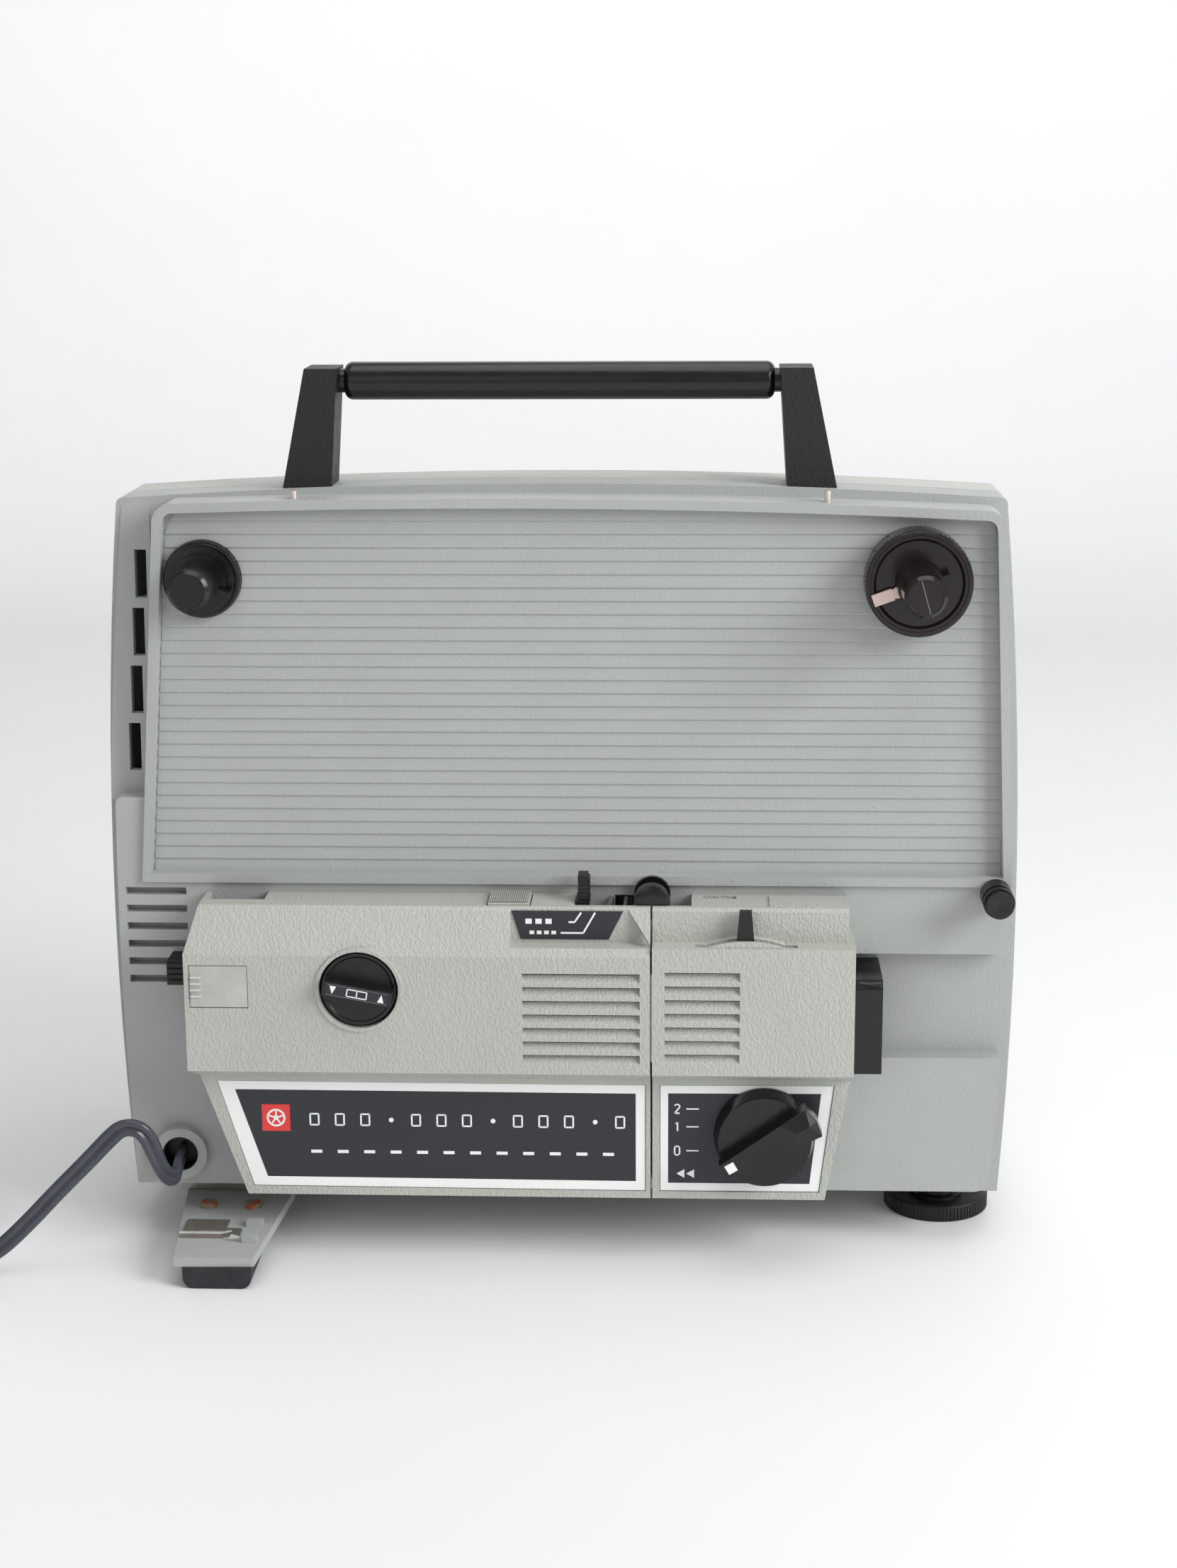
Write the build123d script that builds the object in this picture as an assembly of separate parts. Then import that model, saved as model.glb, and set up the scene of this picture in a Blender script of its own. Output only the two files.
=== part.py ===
from build123d import *

import math
import os

# Film projector. Millimetres, +Z up, +X to the viewer's right, front face towards -Y.
# Origin: middle of the footprint, on the surface that the projector stands on.

# --- body -------------------------------------------------------------------
HALF_TOP = 134.0
HALF_MID = 140.7
HALF_BOTTOM = 137.8
Z_BOTTOM = 13.0
Z_WAIST = 108.0
Z_SHOULDER = 234.0
Z_CROWN = 238.4
CORNER_R = 2.0
WALL = 3.0
Y_FRAME = -26.0
Y_SPLIT = -10.0
Y_REAR_FLAT = 8.0
Y_REAR_BEND = 58.0
Y_REAR = 78.5

# --- raised front face --------------------------------------------------------
Y_FACE = -39.0
Y_FIELD = -36.0
Y_RIM = -40.5
RIM = 2.8
Z_FACE_BOTTOM = 18.0
Z_PANEL_BOTTOM = 117.5
Z_BLOCK_TOP = 144.0
Y_MARGIN_LOW = -33.0
MARGIN_INSET = 1.6

# --- film and light path ------------------------------------------------------
AXIS_Y = -44.0
AXIS_Z = 77.7
CHANNEL_LOW = 62.2
CHANNEL_HIGH = 95.8
Y_CHANNEL = -32.0

# --- covers ---------------------------------------------------------------------
Y_MAIN = -62.0
Y_LEDGE = -55.0
LEDGE_Z = 114.5
BEVEL_Z = 101.0
STEP_Z = 104.0
MAIN_LOW = 64.0
FASCIA_TOP = 60.4
FASCIA_LOW = 21.4
COVER_WALL = 2.0
SEAM_LEFT = 28.2
SEAM_RIGHT = 28.8
LENS_END = 89.5
LOUVRE_COUNT = 7
LOUVRE_PITCH = 4.29
LOUVRE_HIGH = 2.9
LOUVRE_GAP = 0.8

# --- spindles, rollers, controls -----------------------------------------------
TAKE_UP = (-106.5, 211.2)
SUPPLY = (106.9, 211.3)
TIP_R = 6.2
SHAFT_R = 2.5
RUN = 0.05
GAP = 0.3
FRAMER = (-59.5, 90.4)
KNOB = (63.0, 42.5)
ROLLER = (28.5, 115.3)
GUIDE = (132.6, 115.6)
LID_PIN_X = (-78.6, 80.2)
LID_PIN_Y = -34.5
LID_PIN_R = 1.05
LID_PIN_FOOT = 232.8
LID_PIN_TOP = 237.4
SPROCKET = (-30.0, 100.0)
LEVER = (56.7, 71.0)

# --- drive ------------------------------------------------------------------------
MOTOR_Y = 35.0
MOTOR_Z = 125.0
SHUTTER_Y = -12.0
BELT = 1.2

# --- handle -------------------------------------------------------------------------
GRIP_R = 5.7
GRIP_Z = 268.2
GRIP_HALF = 64.7
ROD_R = 3.6
HANDLE_Y = -16.0

# --- feet and cord --------------------------------------------------------------------
FOOT = (120.5, -4.6)
PIVOT = (-105.0, -12.0)
GLAND = (-120.1, 29.2)
BACK_SCREWS = ((-100, 215), (100, 215), (-105, 35), (105, 35))
ARM_SCREWS = ((-112.6, -38.6), (-98.4, -38.7))

# The mains lead: width of its flat twin cable, the coil, and its way from the collar to the coil
CORD_WIDE = 5.6
COIL = (-224.0, -42.0)
COIL_MEAN_R = 31.0
CORD_ROUTE = [
    (-120.1, -36.0, 28.2),
    (-120.1, -45.0, 28.2),
    (-119.8, -50.5, 25.2),
    (-121.2, -55.6, 26.4),
    (-122.8, -59.0, 31.4),
    (-124.0, -60.8, 36.5),
    (-125.4, -61.6, 41.5),
    (-128.2, -62.3, 45.4),
    (-133.2, -62.9, 46.0),
    (-137.2, -63.4, 42.6),
    (-144.0, -64.4, 35.4),
    (-153.6, -66.2, 26.0),
    (-164.0, -67.9, 15.0),
    (-173.6, -69.6, 6.4),
    (-184.0, -71.2, 2.8),
    (-198.0, -73.4, 2.8),
    (-212.0, -72.6, 2.8),
]


def prism(sketch, y_front, y_back):
    """A flat outline in x and z, solid from y_front back to y_back."""
    return extrude(Plane.XZ.offset(-y_back) * sketch, amount=y_back - y_front)


def bar(sketch, x_low, x_high):
    """A flat outline in y and z, solid from x_low to x_high."""
    return extrude(Plane.YZ.offset(x_low) * sketch, amount=x_high - x_low)


def poly(*points):
    return make_face(Polyline(*points, close=True))


def block(x0, x1, y0, y1, z0, z1):
    middle = ((x0 + x1) / 2, (y0 + y1) / 2, (z0 + z1) / 2)
    return Pos(*middle) * Box(x1 - x0, y1 - y0, z1 - z0)


def rod_y(x, z, radius, y_front, y_back):
    middle = Pos(x, (y_front + y_back) / 2, z)
    return middle * Rot(90, 0, 0) * Cylinder(radius, y_back - y_front)


def rod_x(y, z, radius, x_low, x_high):
    return Pos((x_low + x_high) / 2, y, z) * Rot(0, 90, 0) * Cylinder(radius, x_high - x_low)


def rod_z(x, y, radius, z_low, z_high):
    return Pos(x, y, (z_low + z_high) / 2) * Cylinder(radius, z_high - z_low)


def cone_y(x, z, front_r, back_r, y_front, y_back):
    middle = Pos(x, (y_front + y_back) / 2, z)
    return middle * Rot(90, 0, 0) * Cone(back_r, front_r, y_back - y_front)


def barrel(inset, taper=0.0, drop=0.0):
    """The projector's outline: bowed sides, slightly arched top, rounded upper corners."""
    low = Z_BOTTOM + inset
    sides = [half - inset - taper for half in (HALF_BOTTOM, HALF_MID, HALF_TOP)]
    shoulder = Z_SHOULDER - inset - drop
    crown = Z_CROWN - inset - drop
    left = ThreePointArc((-sides[0], low), (-sides[1], Z_WAIST), (-sides[2], shoulder))
    top = ThreePointArc((-sides[2], shoulder), (0, crown), (sides[2], shoulder))
    right = ThreePointArc((sides[2], shoulder), (sides[1], Z_WAIST), (sides[0], low))
    bottom = Line((sides[0], low), (-sides[0], low))
    face = make_face([left, top, right, bottom])
    upper = face.vertices().sort_by(Axis.Y)[-2:]
    return fillet(upper, CORNER_R)


def panel_outline(inset):
    """The raised panel behind the reels."""
    low = Z_PANEL_BOTTOM + inset
    head_left = (-120.1 + inset, 234.0 - inset)
    head_right = (132.6 - inset, 231.8 - inset)
    left = Line((-128.4 + inset, low), head_left)
    top = ThreePointArc(head_left, (5, 235.5 - inset), head_right)
    right = ThreePointArc(head_right, (136.3 - inset, 150), (137.6 - inset, low))
    bottom = Line((137.6 - inset, low), (-128.4 + inset, low))
    face = make_face([left, top, right, bottom])
    upper = face.vertices().sort_by(Axis.Y)[-2:]
    return fillet(upper, 6.0 - inset)


def lower_outline():
    """The flat lower face, with the block that steps out at its left."""
    low = Z_FACE_BOTTOM
    left = ThreePointArc((-134.6, low), (-136.5, 80), (-135.8, Z_BLOCK_TOP))
    step = Polyline((-135.8, Z_BLOCK_TOP), (-126.0, Z_BLOCK_TOP), (-126.0, 119.5), (137.2, 119.5))
    right = ThreePointArc((137.2, 119.5), (136.4, 75), (133.5, low))
    bottom = Line((133.5, low), (-134.6, low))
    face = make_face([left, step, right, bottom])
    block_corner = face.vertices().sort_by(Axis.Y)[-2:].sort_by(Axis.X)[0]
    face = fillet(block_corner, 2.0)
    right_corner = face.vertices().sort_by(Axis.Y)[:2].sort_by(Axis.X)[-1]
    return fillet(right_corner, 5.0)


def left_margin(inset):
    """The margin left of the panel, leaning forward as it runs down to the lower block."""
    y_top, y_low = Y_FRAME + inset, Y_MARGIN_LOW + inset
    y_back = Y_FRAME + WALL
    low = Z_BLOCK_TOP - 2.0
    slope = poly((y_top, Z_SHOULDER - inset), (y_low, low), (y_back, low), (y_back, Z_SHOULDER - inset))
    outline = prism(barrel(inset + MARGIN_INSET), Y_MARGIN_LOW, Y_FRAME + WALL)
    return bar(slope, -140.0, -124.0 - inset) & outline


def vents():
    """Four upright slots beside the panel and six level ones in the lower block."""
    cutters = []
    for index in range(4):
        x = -127.2 - 1.1 * index
        z = 211.2 - 17.65 * index
        cutters.append(block(x - 1.8, x + 1.8, Y_MARGIN_LOW, Y_FRAME + WALL + 1, z - 7.3, z + 7.3))
    for index in range(6):
        z = 114.3 - 5.67 * index
        cutters.append(block(-134.0, -115.2, Y_FACE - 1, Y_FACE + WALL + 1, z - 1.15, z + 1.15))
    return cutters


def shutter_slot():
    return block(17.0, 24.0, Y_FACE - 1, -20.0, 39.0, 114.0)


def front_casting():
    """Pan-shaped casting: rim, raised ribbed panel, lower face and the long beam channel."""
    body = prism(barrel(0), Y_FRAME, Y_SPLIT)
    body += prism(lower_outline(), Y_FACE, Y_FRAME)
    body += left_margin(0)
    body += prism(panel_outline(0), Y_RIM, Y_FRAME)
    body -= prism(panel_outline(RIM), Y_RIM, Y_FIELD)
    body -= prism(barrel(WALL), Y_FRAME + WALL, Y_SPLIT)
    body -= left_margin(WALL)
    behind = lower_outline() + panel_outline(0)
    body -= prism(offset(behind, -WALL), Y_FIELD + WALL, Y_FRAME + WALL)
    z_low, z_high = CHANNEL_LOW - WALL, CHANNEL_HIGH + WALL
    channel_floor = block(-112, 140, Y_CHANNEL - 2, Y_CHANNEL + WALL, z_low, z_high)
    body += channel_floor & prism(lower_outline(), Y_FACE, Y_FRAME)
    body -= block(-108, 145, Y_FACE - 2, Y_CHANNEL, CHANNEL_LOW, CHANNEL_HIGH)
    for x, z in ((-118, 52), (118, 30), (-118, 215), (122, 190), (0, 222), (0, 30)):
        body += rod_y(x, z, 4.0, Y_FIELD + 1, -11.0)
    for cutter in vents():
        body -= cutter
    body -= shutter_slot()
    for x, z in (TAKE_UP, SUPPLY):
        body -= rod_y(x, z, 5.0, Y_RIM, -20)
    body -= rod_y(*GUIDE, 1.5, -45, -30)
    body -= rod_y(*ROLLER, 1.2, -45, -30)
    body -= rod_y(*FRAMER, SHAFT_R + RUN, -45, -20)
    body -= rod_y(*SPROCKET, SHAFT_R + RUN, -45, -20)
    body -= rod_y(*GLAND, 6.6, -45, -30)
    body -= rod_z(*PIVOT, 3.0, 5, 22)
    body -= block(-120.0, -114.0, -45, -30, 89.0, 93.5)
    for x in LID_PIN_X:
        body -= rod_z(x, LID_PIN_Y, LID_PIN_R + RUN, LID_PIN_FOOT, Z_CROWN)
    return body


def rear_shell(inset):
    """Straight for a short way behind the front casting, then drawn in towards the back."""
    straight = prism(barrel(inset), Y_SPLIT, Y_REAR_FLAT)
    mid_face = Plane.XZ.offset(-Y_REAR_FLAT) * barrel(inset)
    bend_face = Plane.XZ.offset(-Y_REAR_BEND) * barrel(inset, 4, 9)
    back_face = Plane.XZ.offset(-(Y_REAR - inset)) * barrel(inset, 14, 21)
    return straight + loft([mid_face, bend_face], ruled=True) + loft([bend_face, back_face], ruled=True)


def rear_cover():
    """Hollow rear housing with an air grille in its back and in each side."""
    body = rear_shell(0) - rear_shell(WALL - 0.5)
    for index in range(12):
        x = -66 + index * 12
        body -= block(x - 2, x + 2, Y_REAR - 8, Y_REAR + 1, 150, 195)
        body -= block(x - 2, x + 2, Y_REAR - 8, Y_REAR + 1, 45, 75)
    body -= rod_z(*PIVOT, 3.0, 5, 22)
    body -= rod_z(FOOT[0], FOOT[1], 4.2, 5, 22)
    for x, z in BACK_SCREWS:
        body -= rod_y(x, z, 1.6 + RUN, Y_REAR - 8, Y_REAR + 1)
        body -= rod_y(x, z, 3.2 + GAP, Y_REAR - 1.6, Y_REAR + 1)
    return body


def back_screws():
    heads = []
    for x, z in BACK_SCREWS:
        head = rod_y(x, z, 3.2, Y_REAR - 1.6, Y_REAR) + rod_y(x, z, 1.6, Y_REAR - 7, Y_REAR - 1)
        head -= block(x - 3.4, x + 3.4, Y_REAR - 0.8, Y_REAR + 1, z - 0.4, z + 0.4)
        heads.append(head)
    return Compound(heads)


def handle_posts():
    """Two leaning posts on the crown, mirror images of each other."""
    outline = poly((85.3, 228), (76.0, 272.4), (66.2, 272.4), (69.2, 228))
    post = prism(outline, HANDLE_Y - 8, HANDLE_Y + 8)
    post -= prism(barrel(0), HANDLE_Y - 9, HANDLE_Y + 9)
    post -= rod_x(HANDLE_Y, GRIP_Z, ROD_R, 60, 73)
    return Compound([post, mirror(post, about=Plane.YZ)])


def handle_grip():
    grip = rod_x(HANDLE_Y, GRIP_Z, GRIP_R, -GRIP_HALF, GRIP_HALF)
    ends = grip.edges().filter_by(GeomType.CIRCLE)
    return fillet(ends, 2.5) + rod_x(HANDLE_Y, GRIP_Z, ROD_R, -73, 73)


def lid_pins():
    """Two short upright pins on top of the raised panel that the carrying lid hooks on."""
    return Compound([rod_z(x, LID_PIN_Y, LID_PIN_R, LID_PIN_FOOT, LID_PIN_TOP) for x in LID_PIN_X])


def left_section(inset):
    """Side profile of the lamp cover."""
    low = FASCIA_LOW + inset
    points = [(Y_FACE, low), (Y_LEDGE + inset, low), (Y_LEDGE + inset, FASCIA_TOP + inset)]
    points += [(Y_MAIN + inset, MAIN_LOW + inset), (Y_MAIN + inset, BEVEL_Z - inset / 2)]
    points += [(Y_LEDGE + inset, LEDGE_Z - 1 - inset), (Y_LEDGE + 1 + inset, LEDGE_Z - inset)]
    return poly(*points, (Y_FACE, LEDGE_Z - inset))


def left_front(inset):
    """Front outline of the lamp cover, with its slanted left end."""
    points = [(-108.3 + inset, LEDGE_Z + 1), (-112.5 + inset, BEVEL_Z), (-112.5 + inset, MAIN_LOW)]
    points += [(-110.2 + inset, FASCIA_TOP), (-96.6 + inset, FASCIA_LOW)]
    return poly(*points, (SEAM_LEFT + inset, FASCIA_LOW), (SEAM_LEFT + inset, LEDGE_Z + 1))


def pocket(margin):
    """Recess in the bevel that holds the film size label."""
    points = [(-13.9 - margin, LEDGE_Z + 1), (-13.9 - margin, 103.5 - margin)]
    points += [(29.0, 103.5 - margin), (20.5 + margin, LEDGE_Z + 1)]
    return prism(poly(*points), Y_MAIN - 1, Y_LEDGE + 0.5 + margin)


def louvres(x0, x1, top):
    """Cutters that leave a slat sloping up and inwards behind each opening, with a gap over it."""
    y_inside = Y_MAIN + COVER_WALL
    cutters = []
    for index in range(LOUVRE_COUNT):
        z = top - index * LOUVRE_PITCH
        mouth = [(Y_MAIN - 1, z), (Y_MAIN - 1, z - LOUVRE_HIGH), (Y_MAIN, z - LOUVRE_HIGH)]
        inside = [(y_inside, z - LOUVRE_GAP), (y_inside + 1, z - LOUVRE_GAP), (y_inside + 1, z)]
        cutters.append(bar(poly(*mouth, *inside), x0, x1))
    return cutters


def name_outline(grow):
    left_top = (-105.1 - grow, 58.5 + grow)
    left_low = (-94.8 - grow, 24.0 - grow)
    return poly(left_top, (26.8 + grow, 58.3 + grow), (26.8 + grow, 23.6 - grow), left_low)


def control_outline(grow):
    top = ((31.0 - grow, 58.3 + grow), (84.2 + grow, 58.6 + grow))
    return poly(*top, (80.0 + grow, 23.8 - grow), (31.0 - grow, 23.7 - grow))


def lamp_cover():
    """Pull-off cover over the lamp and film exit, with louvres, dial hole and name plate recess."""
    body = bar(left_section(0), -113, SEAM_LEFT) & prism(left_front(0), Y_MAIN - 1, Y_FACE)
    room = bar(left_section(COVER_WALL), -113, SEAM_LEFT + 1)
    room = room & prism(left_front(COVER_WALL), Y_MAIN - 1, Y_FACE)
    body -= room - pocket(COVER_WALL)
    body -= pocket(0)
    for cutter in louvres(-10.2, 25.1, 95.9):
        body -= cutter
    body += rod_y(*FRAMER, 13.2, Y_MAIN - 0.6, Y_MAIN + 1)
    body -= rod_y(*FRAMER, 12.0, Y_MAIN - 2, Y_MAIN + COVER_WALL + 1)
    body -= block(-111.0, -93.1, Y_MAIN - 1, Y_MAIN + 1.5, 84.2, 97.7)
    body -= block(-107.1, -89.5, -48.0, Y_FACE, LEDGE_Z - 3, LEDGE_Z + 1)
    body -= block(-21.4, -7.9, -53.0, -40.5, LEDGE_Z - 9.5, LEDGE_Z + 1)
    body -= block(5.2, SEAM_LEFT + 1, -52.0, Y_FACE, LEDGE_Z - 9, LEDGE_Z + 1)
    body -= prism(name_outline(0), Y_LEDGE - 1, Y_LEDGE + 1.0)
    return body


def right_section(inset):
    low = FASCIA_LOW + inset
    points = [(Y_FACE, low), (Y_LEDGE + inset, low), (Y_LEDGE + inset, FASCIA_TOP + inset)]
    points += [(Y_MAIN + inset, MAIN_LOW + inset), (Y_MAIN + inset, STEP_Z - inset)]
    points += [(Y_LEDGE + inset, STEP_Z - inset), (Y_LEDGE + inset, LEDGE_Z - 1 - inset)]
    points += [(Y_LEDGE + 1 + inset, LEDGE_Z - inset), (Y_FACE, LEDGE_Z - inset)]
    return poly(*points)


def right_front(inset):
    points = [(SEAM_RIGHT - inset, LEDGE_Z + 1), (SEAM_RIGHT - inset, FASCIA_LOW)]
    points += [(81.7 - inset, FASCIA_LOW), (88.9 - inset, FASCIA_TOP), (LENS_END - inset, MAIN_LOW)]
    points += [(LENS_END - inset, STEP_Z), (87.7 - inset, STEP_Z), (87.7 - inset, LEDGE_Z + 1)]
    return poly(*points)


def lens_cover():
    """Fixed cover over the lens, with louvres, the focus slot and the control plate recess."""
    body = bar(right_section(0), SEAM_RIGHT, 90) & prism(right_front(0), Y_MAIN - 1, Y_FACE)
    room = bar(right_section(COVER_WALL), SEAM_RIGHT - 1, 90)
    body -= room & prism(right_front(COVER_WALL), Y_MAIN - 1, Y_FACE)
    for cutter in louvres(32.6, 55.1, 96.5):
        body -= cutter
    hump = rod_y(*LEVER, 35.0, Y_MAIN + 0.8, Y_LEDGE + 1)
    body += hump & block(41.0, 72.8, Y_MAIN, Y_LEDGE + 2, STEP_Z - 4, STEP_Z + 3)
    body -= block(41.6, 72.2, -59.9, -57.1, STEP_Z - 7, STEP_Z + 4)
    body -= block(SEAM_RIGHT - 1, 40.5, -52.0, Y_FACE, LEDGE_Z - 9, LEDGE_Z + 1)
    body -= block(44, 54, -44, -41, LEDGE_Z - 3, LEDGE_Z + 1)
    body += block(64, 86, -53, -42, LEDGE_Z - 0.5, LEDGE_Z + 0.5)
    body -= rod_x(AXIS_Y, AXIS_Z, 10.6, 85, 92)
    body -= block(85, 92, -50, Y_FACE + 1, 70, 86)
    body -= prism(control_outline(0), Y_LEDGE - 1, Y_LEDGE + 1.0)
    body -= rod_y(*KNOB, 4.0, Y_LEDGE - 2, Y_LEDGE + 4)
    return body


def name_plate():
    return prism(name_outline(-0.1), Y_LEDGE + 0.4, Y_LEDGE + 1.0)


def control_plate():
    return prism(control_outline(-0.1), Y_LEDGE + 0.4, Y_LEDGE + 1.0) - rod_y(*KNOB, 4.0, -60, -50)


def film_label():
    outline = poly((-13.6, 113.4), (20.0, 113.4), (15.6, 104.6), (-10.9, 104.6))
    return prism(outline, Y_LEDGE + 0.1, Y_LEDGE + 0.5)


def side_hatch():
    plate = block(-110.8, -93.3, Y_MAIN, Y_MAIN + 1.5, 84.4, 97.5)
    for index in range(4):
        z = 88.0 + index * 2.0
        plate += block(-110.4, -107.4, Y_MAIN - 0.5, Y_MAIN + 0.5, z - 0.5, z + 0.5)
    return plate


def release_button():
    """Spring button in the ledge that frees the lamp cover."""
    body = block(-21.0, -8.3, -52.6, -40.9, LEDGE_Z - 6, LEDGE_Z + 0.6)
    for index in range(5):
        y = -42.0 - index * 1.2
        body += block(-20.4, -8.9, y - 0.3, y + 0.3, LEDGE_Z + 0.6, LEDGE_Z + 1.1)
    return body


def framer_dial():
    dial = rod_y(*FRAMER, 11.3, Y_MAIN + 0.6, Y_MAIN + 3.6)
    grip = Pos(FRAMER[0], Y_MAIN - 1.9, FRAMER[1]) * Rot(0, 10.5, 0) * Box(21.0, 5.0, 4.6)
    return dial + grip + rod_y(*FRAMER, SHAFT_R, Y_MAIN + 3, -22)


def side_latch():
    """Ribbed thumb slide beside the lamp cover, on a stem through the front wall."""
    body = block(-120.1, -113.6, -50.0, Y_FACE - GAP, 87.5, 95.0)
    for index in range(4):
        z = 88.6 + index * 1.8
        body += block(-119.6, -114.1, -50.6, -49.9, z - 0.5, z + 0.5)
    body += block(-117.6, -114.4, Y_FACE - GAP - 0.5, -35.0, 89.4, 93.1)
    return body


def format_lever():
    body = block(5.6, 9.7, -50.5, -41.0, LEDGE_Z - 1, LEDGE_Z + 0.8)
    body += block(6.2, 9.2, -49.5, -44.0, LEDGE_Z, 123.0)
    for index in range(4):
        z = 116.4 + index * 1.8
        body += block(9.1, 9.6, -49.0, -44.5, z - 0.4, z + 0.4)
    return body


def guide_rods():
    """Two thin rods beside the format lever that steer the film into the gate."""
    return Compound([rod_y(x, 113.0, 0.8, -51.0, Y_FACE) for x in (16.0, 20.5)])


def film_roller():
    body = rod_y(*ROLLER, 3.4, -50.0, -41.2)
    body += rod_y(*ROLLER, 5.5, -42.4, -40.9) + rod_y(*ROLLER, 5.5, -50.2, -48.8)
    return body - rod_y(*ROLLER, 1.2 + RUN, -60, -35)


def guide_roller():
    body = rod_y(*GUIDE, 4.75, -51.4, -41.2)
    body -= rod_y(*GUIDE, 6.0, -49.8, -47.8) - rod_y(*GUIDE, 3.4, -50.0, -47.0)
    return body - rod_y(*GUIDE, 1.5 + RUN, -60, -35)


def roller_pins():
    """Headed pins of the centre film roller and of the lower guide roller."""
    film_pin = rod_y(*ROLLER, 1.2, -51.0, -34.0) + rod_y(*ROLLER, 2.2, -51.8, -50.5)
    guide_pin = rod_y(*GUIDE, 1.5, -52.0, -33.0) + rod_y(*GUIDE, 4.0, -53.6, -51.7)
    return Compound([film_pin, guide_pin])


def bushing(center):
    body = rod_y(*center, 5.0, -36.0, -22.0) + rod_y(*center, 7.5, -33.0, -30.0)
    return body - rod_y(*center, SHAFT_R + RUN, -40, -15)


def spindle_bushings():
    return Compound([bushing(TAKE_UP), bushing(SUPPLY)])


def spindle_tip(center, y_tip, y_seat, y_foot, lug_angle):
    """Round nose that the reel slides on, and the lug at its foot that drives the reel."""
    nose = rod_y(*center, TIP_R, y_tip, y_seat)
    nose = chamfer(nose.edges().filter_by(GeomType.CIRCLE).sort_by(Axis.Y)[0], 1.2)
    lug = block(5.0, 9.2, y_seat, y_foot + 0.5, -0.8, 0.8)
    lug = Pos(center[0], 0, center[1]) * Rot(0, lug_angle, 0) * lug
    return nose + rod_y(*center, TIP_R + 0.5, y_seat, y_foot) + lug


def take_up_spindle():
    body = cone_y(*TAKE_UP, 10.6, 11.8, -40.0, -36.4)
    body += rod_y(*TAKE_UP, 8.0, -43.0, -39.5)
    body += spindle_tip(TAKE_UP, -61.0, -46.5, -42.5, 21)
    return body + rod_y(*TAKE_UP, SHAFT_R, -36.5, 6.0)


def supply_spindle():
    body = rod_y(*SUPPLY, 15.8, -46.0, -36.4) - cone_y(*SUPPLY, 13.9, 10.0, -46.5, -42.5)
    body += cone_y(*SUPPLY, 6.6, 7.6, -50.0, -42.0)
    body += spindle_tip(SUPPLY, -70.0, -52.0, -48.5, -20)
    body -= latch_place() * block(3.9, 9.0, -48.2, -46.0, -2.1, 2.1)
    return body + rod_y(*SUPPLY, SHAFT_R, -36.5, 6.0)


def latch_place():
    """Frame whose +X runs outwards along the reel catch."""
    return Pos(SUPPLY[0], 0, SUPPLY[1]) * Rot(0, 160, 0)


def supply_latch():
    """Sprung catch in the dish: a wedge at the nose with a pale thumb tab outside it."""
    wedge = prism(poly((5.7, -1.9), (5.7, 1.9), (8.6, 1.2), (8.6, -1.2)), -47.9, -46.3)
    return latch_place() * (wedge + block(8.2, 14.4, -48.0, -46.3, -1.7, 1.7))


def take_up_pulley():
    wheel = rod_y(*TAKE_UP, 14.0, -2.0, 5.0)
    groove = rod_y(*TAKE_UP, 20.0, 0.0, 3.0) - rod_y(*TAKE_UP, 11.5, -1.0, 4.0)
    return wheel - groove - rod_y(*TAKE_UP, SHAFT_R, -5, 8)


def control_knob():
    """Tapered skirt with a pointer bar across it, narrow end at the dial marks."""
    skirt = cone_y(*KNOB, 14.1, 15.4, -61.3, -55.3)
    outline = poly((-14.8, -2.4), (-14.8, 2.4), (17.0, 5.0), (18.0, 0), (17.0, -5.0))
    pointer = Pos(KNOB[0], 0, KNOB[1]) * Rot(0, -31, 0) * prism(outline, -67.0, -61.3)
    return skirt + pointer + rod_y(*KNOB, 3.0, -55.5, -43.0)


def rotary_switch():
    body = block(49.0, 79.0, -51.0, Y_FACE, 29.0, 58.0)
    return body - rod_y(*KNOB, 3.0 + RUN, -60, -42.5)


def focus_lever():
    x, z = LEVER
    right_side = [(x + 3.4, z), (x + 2.75, 104), (x + 1.8, 115)]
    left_side = [(2 * x - across, height) for across, height in reversed(right_side)]
    arm = prism(poly(*right_side, *left_side), -59.6, -57.4)
    arm += rod_y(x, z, 4.0, -59.6, -57.4)
    return arm - rod_y(x, z, 1.5 + RUN, -65, -50)


def focus_pivot():
    """Stud on a tab of the lens carrier; the focus lever turns on it."""
    x, z = LEVER
    tab = block(x - 3, 72.0, -57.2, -55.2, z - 3, z + 3)
    return tab + rod_y(x, z, 1.5, -59.8, -56.0)


def lens_barrel():
    body = rod_x(AXIS_Y, AXIS_Z, 10.0, 48.0, 94.0) - rod_x(AXIS_Y, AXIS_Z, 7.5, 45.0, 96.0)
    return body


def lens_glass():
    return Compound([rod_x(AXIS_Y, AXIS_Z, 7.5, 89.0, 92.5), rod_x(AXIS_Y, AXIS_Z, 7.5, 50.0, 54.0)])


def lens_carrier():
    """Split block on the channel floor that guides the lens barrel."""
    body = block(62.0, 84.0, -55.2, Y_CHANNEL, 66.0, 89.4)
    body -= rod_x(AXIS_Y, AXIS_Z, 10.0 + RUN, 60, 86)
    return body


def lens_hood():
    """Black housing around the front end of the lens."""
    body = block(LENS_END, 98.2, -56.0, Y_CHANNEL, CHANNEL_LOW + 0.7, 92.3)
    body = fillet(body.edges().filter_by(Axis.X).group_by(Axis.Z)[-1].sort_by(Axis.Y)[0], 3.0)
    return body - rod_x(AXIS_Y, AXIS_Z, 10.4, 85, 100)


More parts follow.
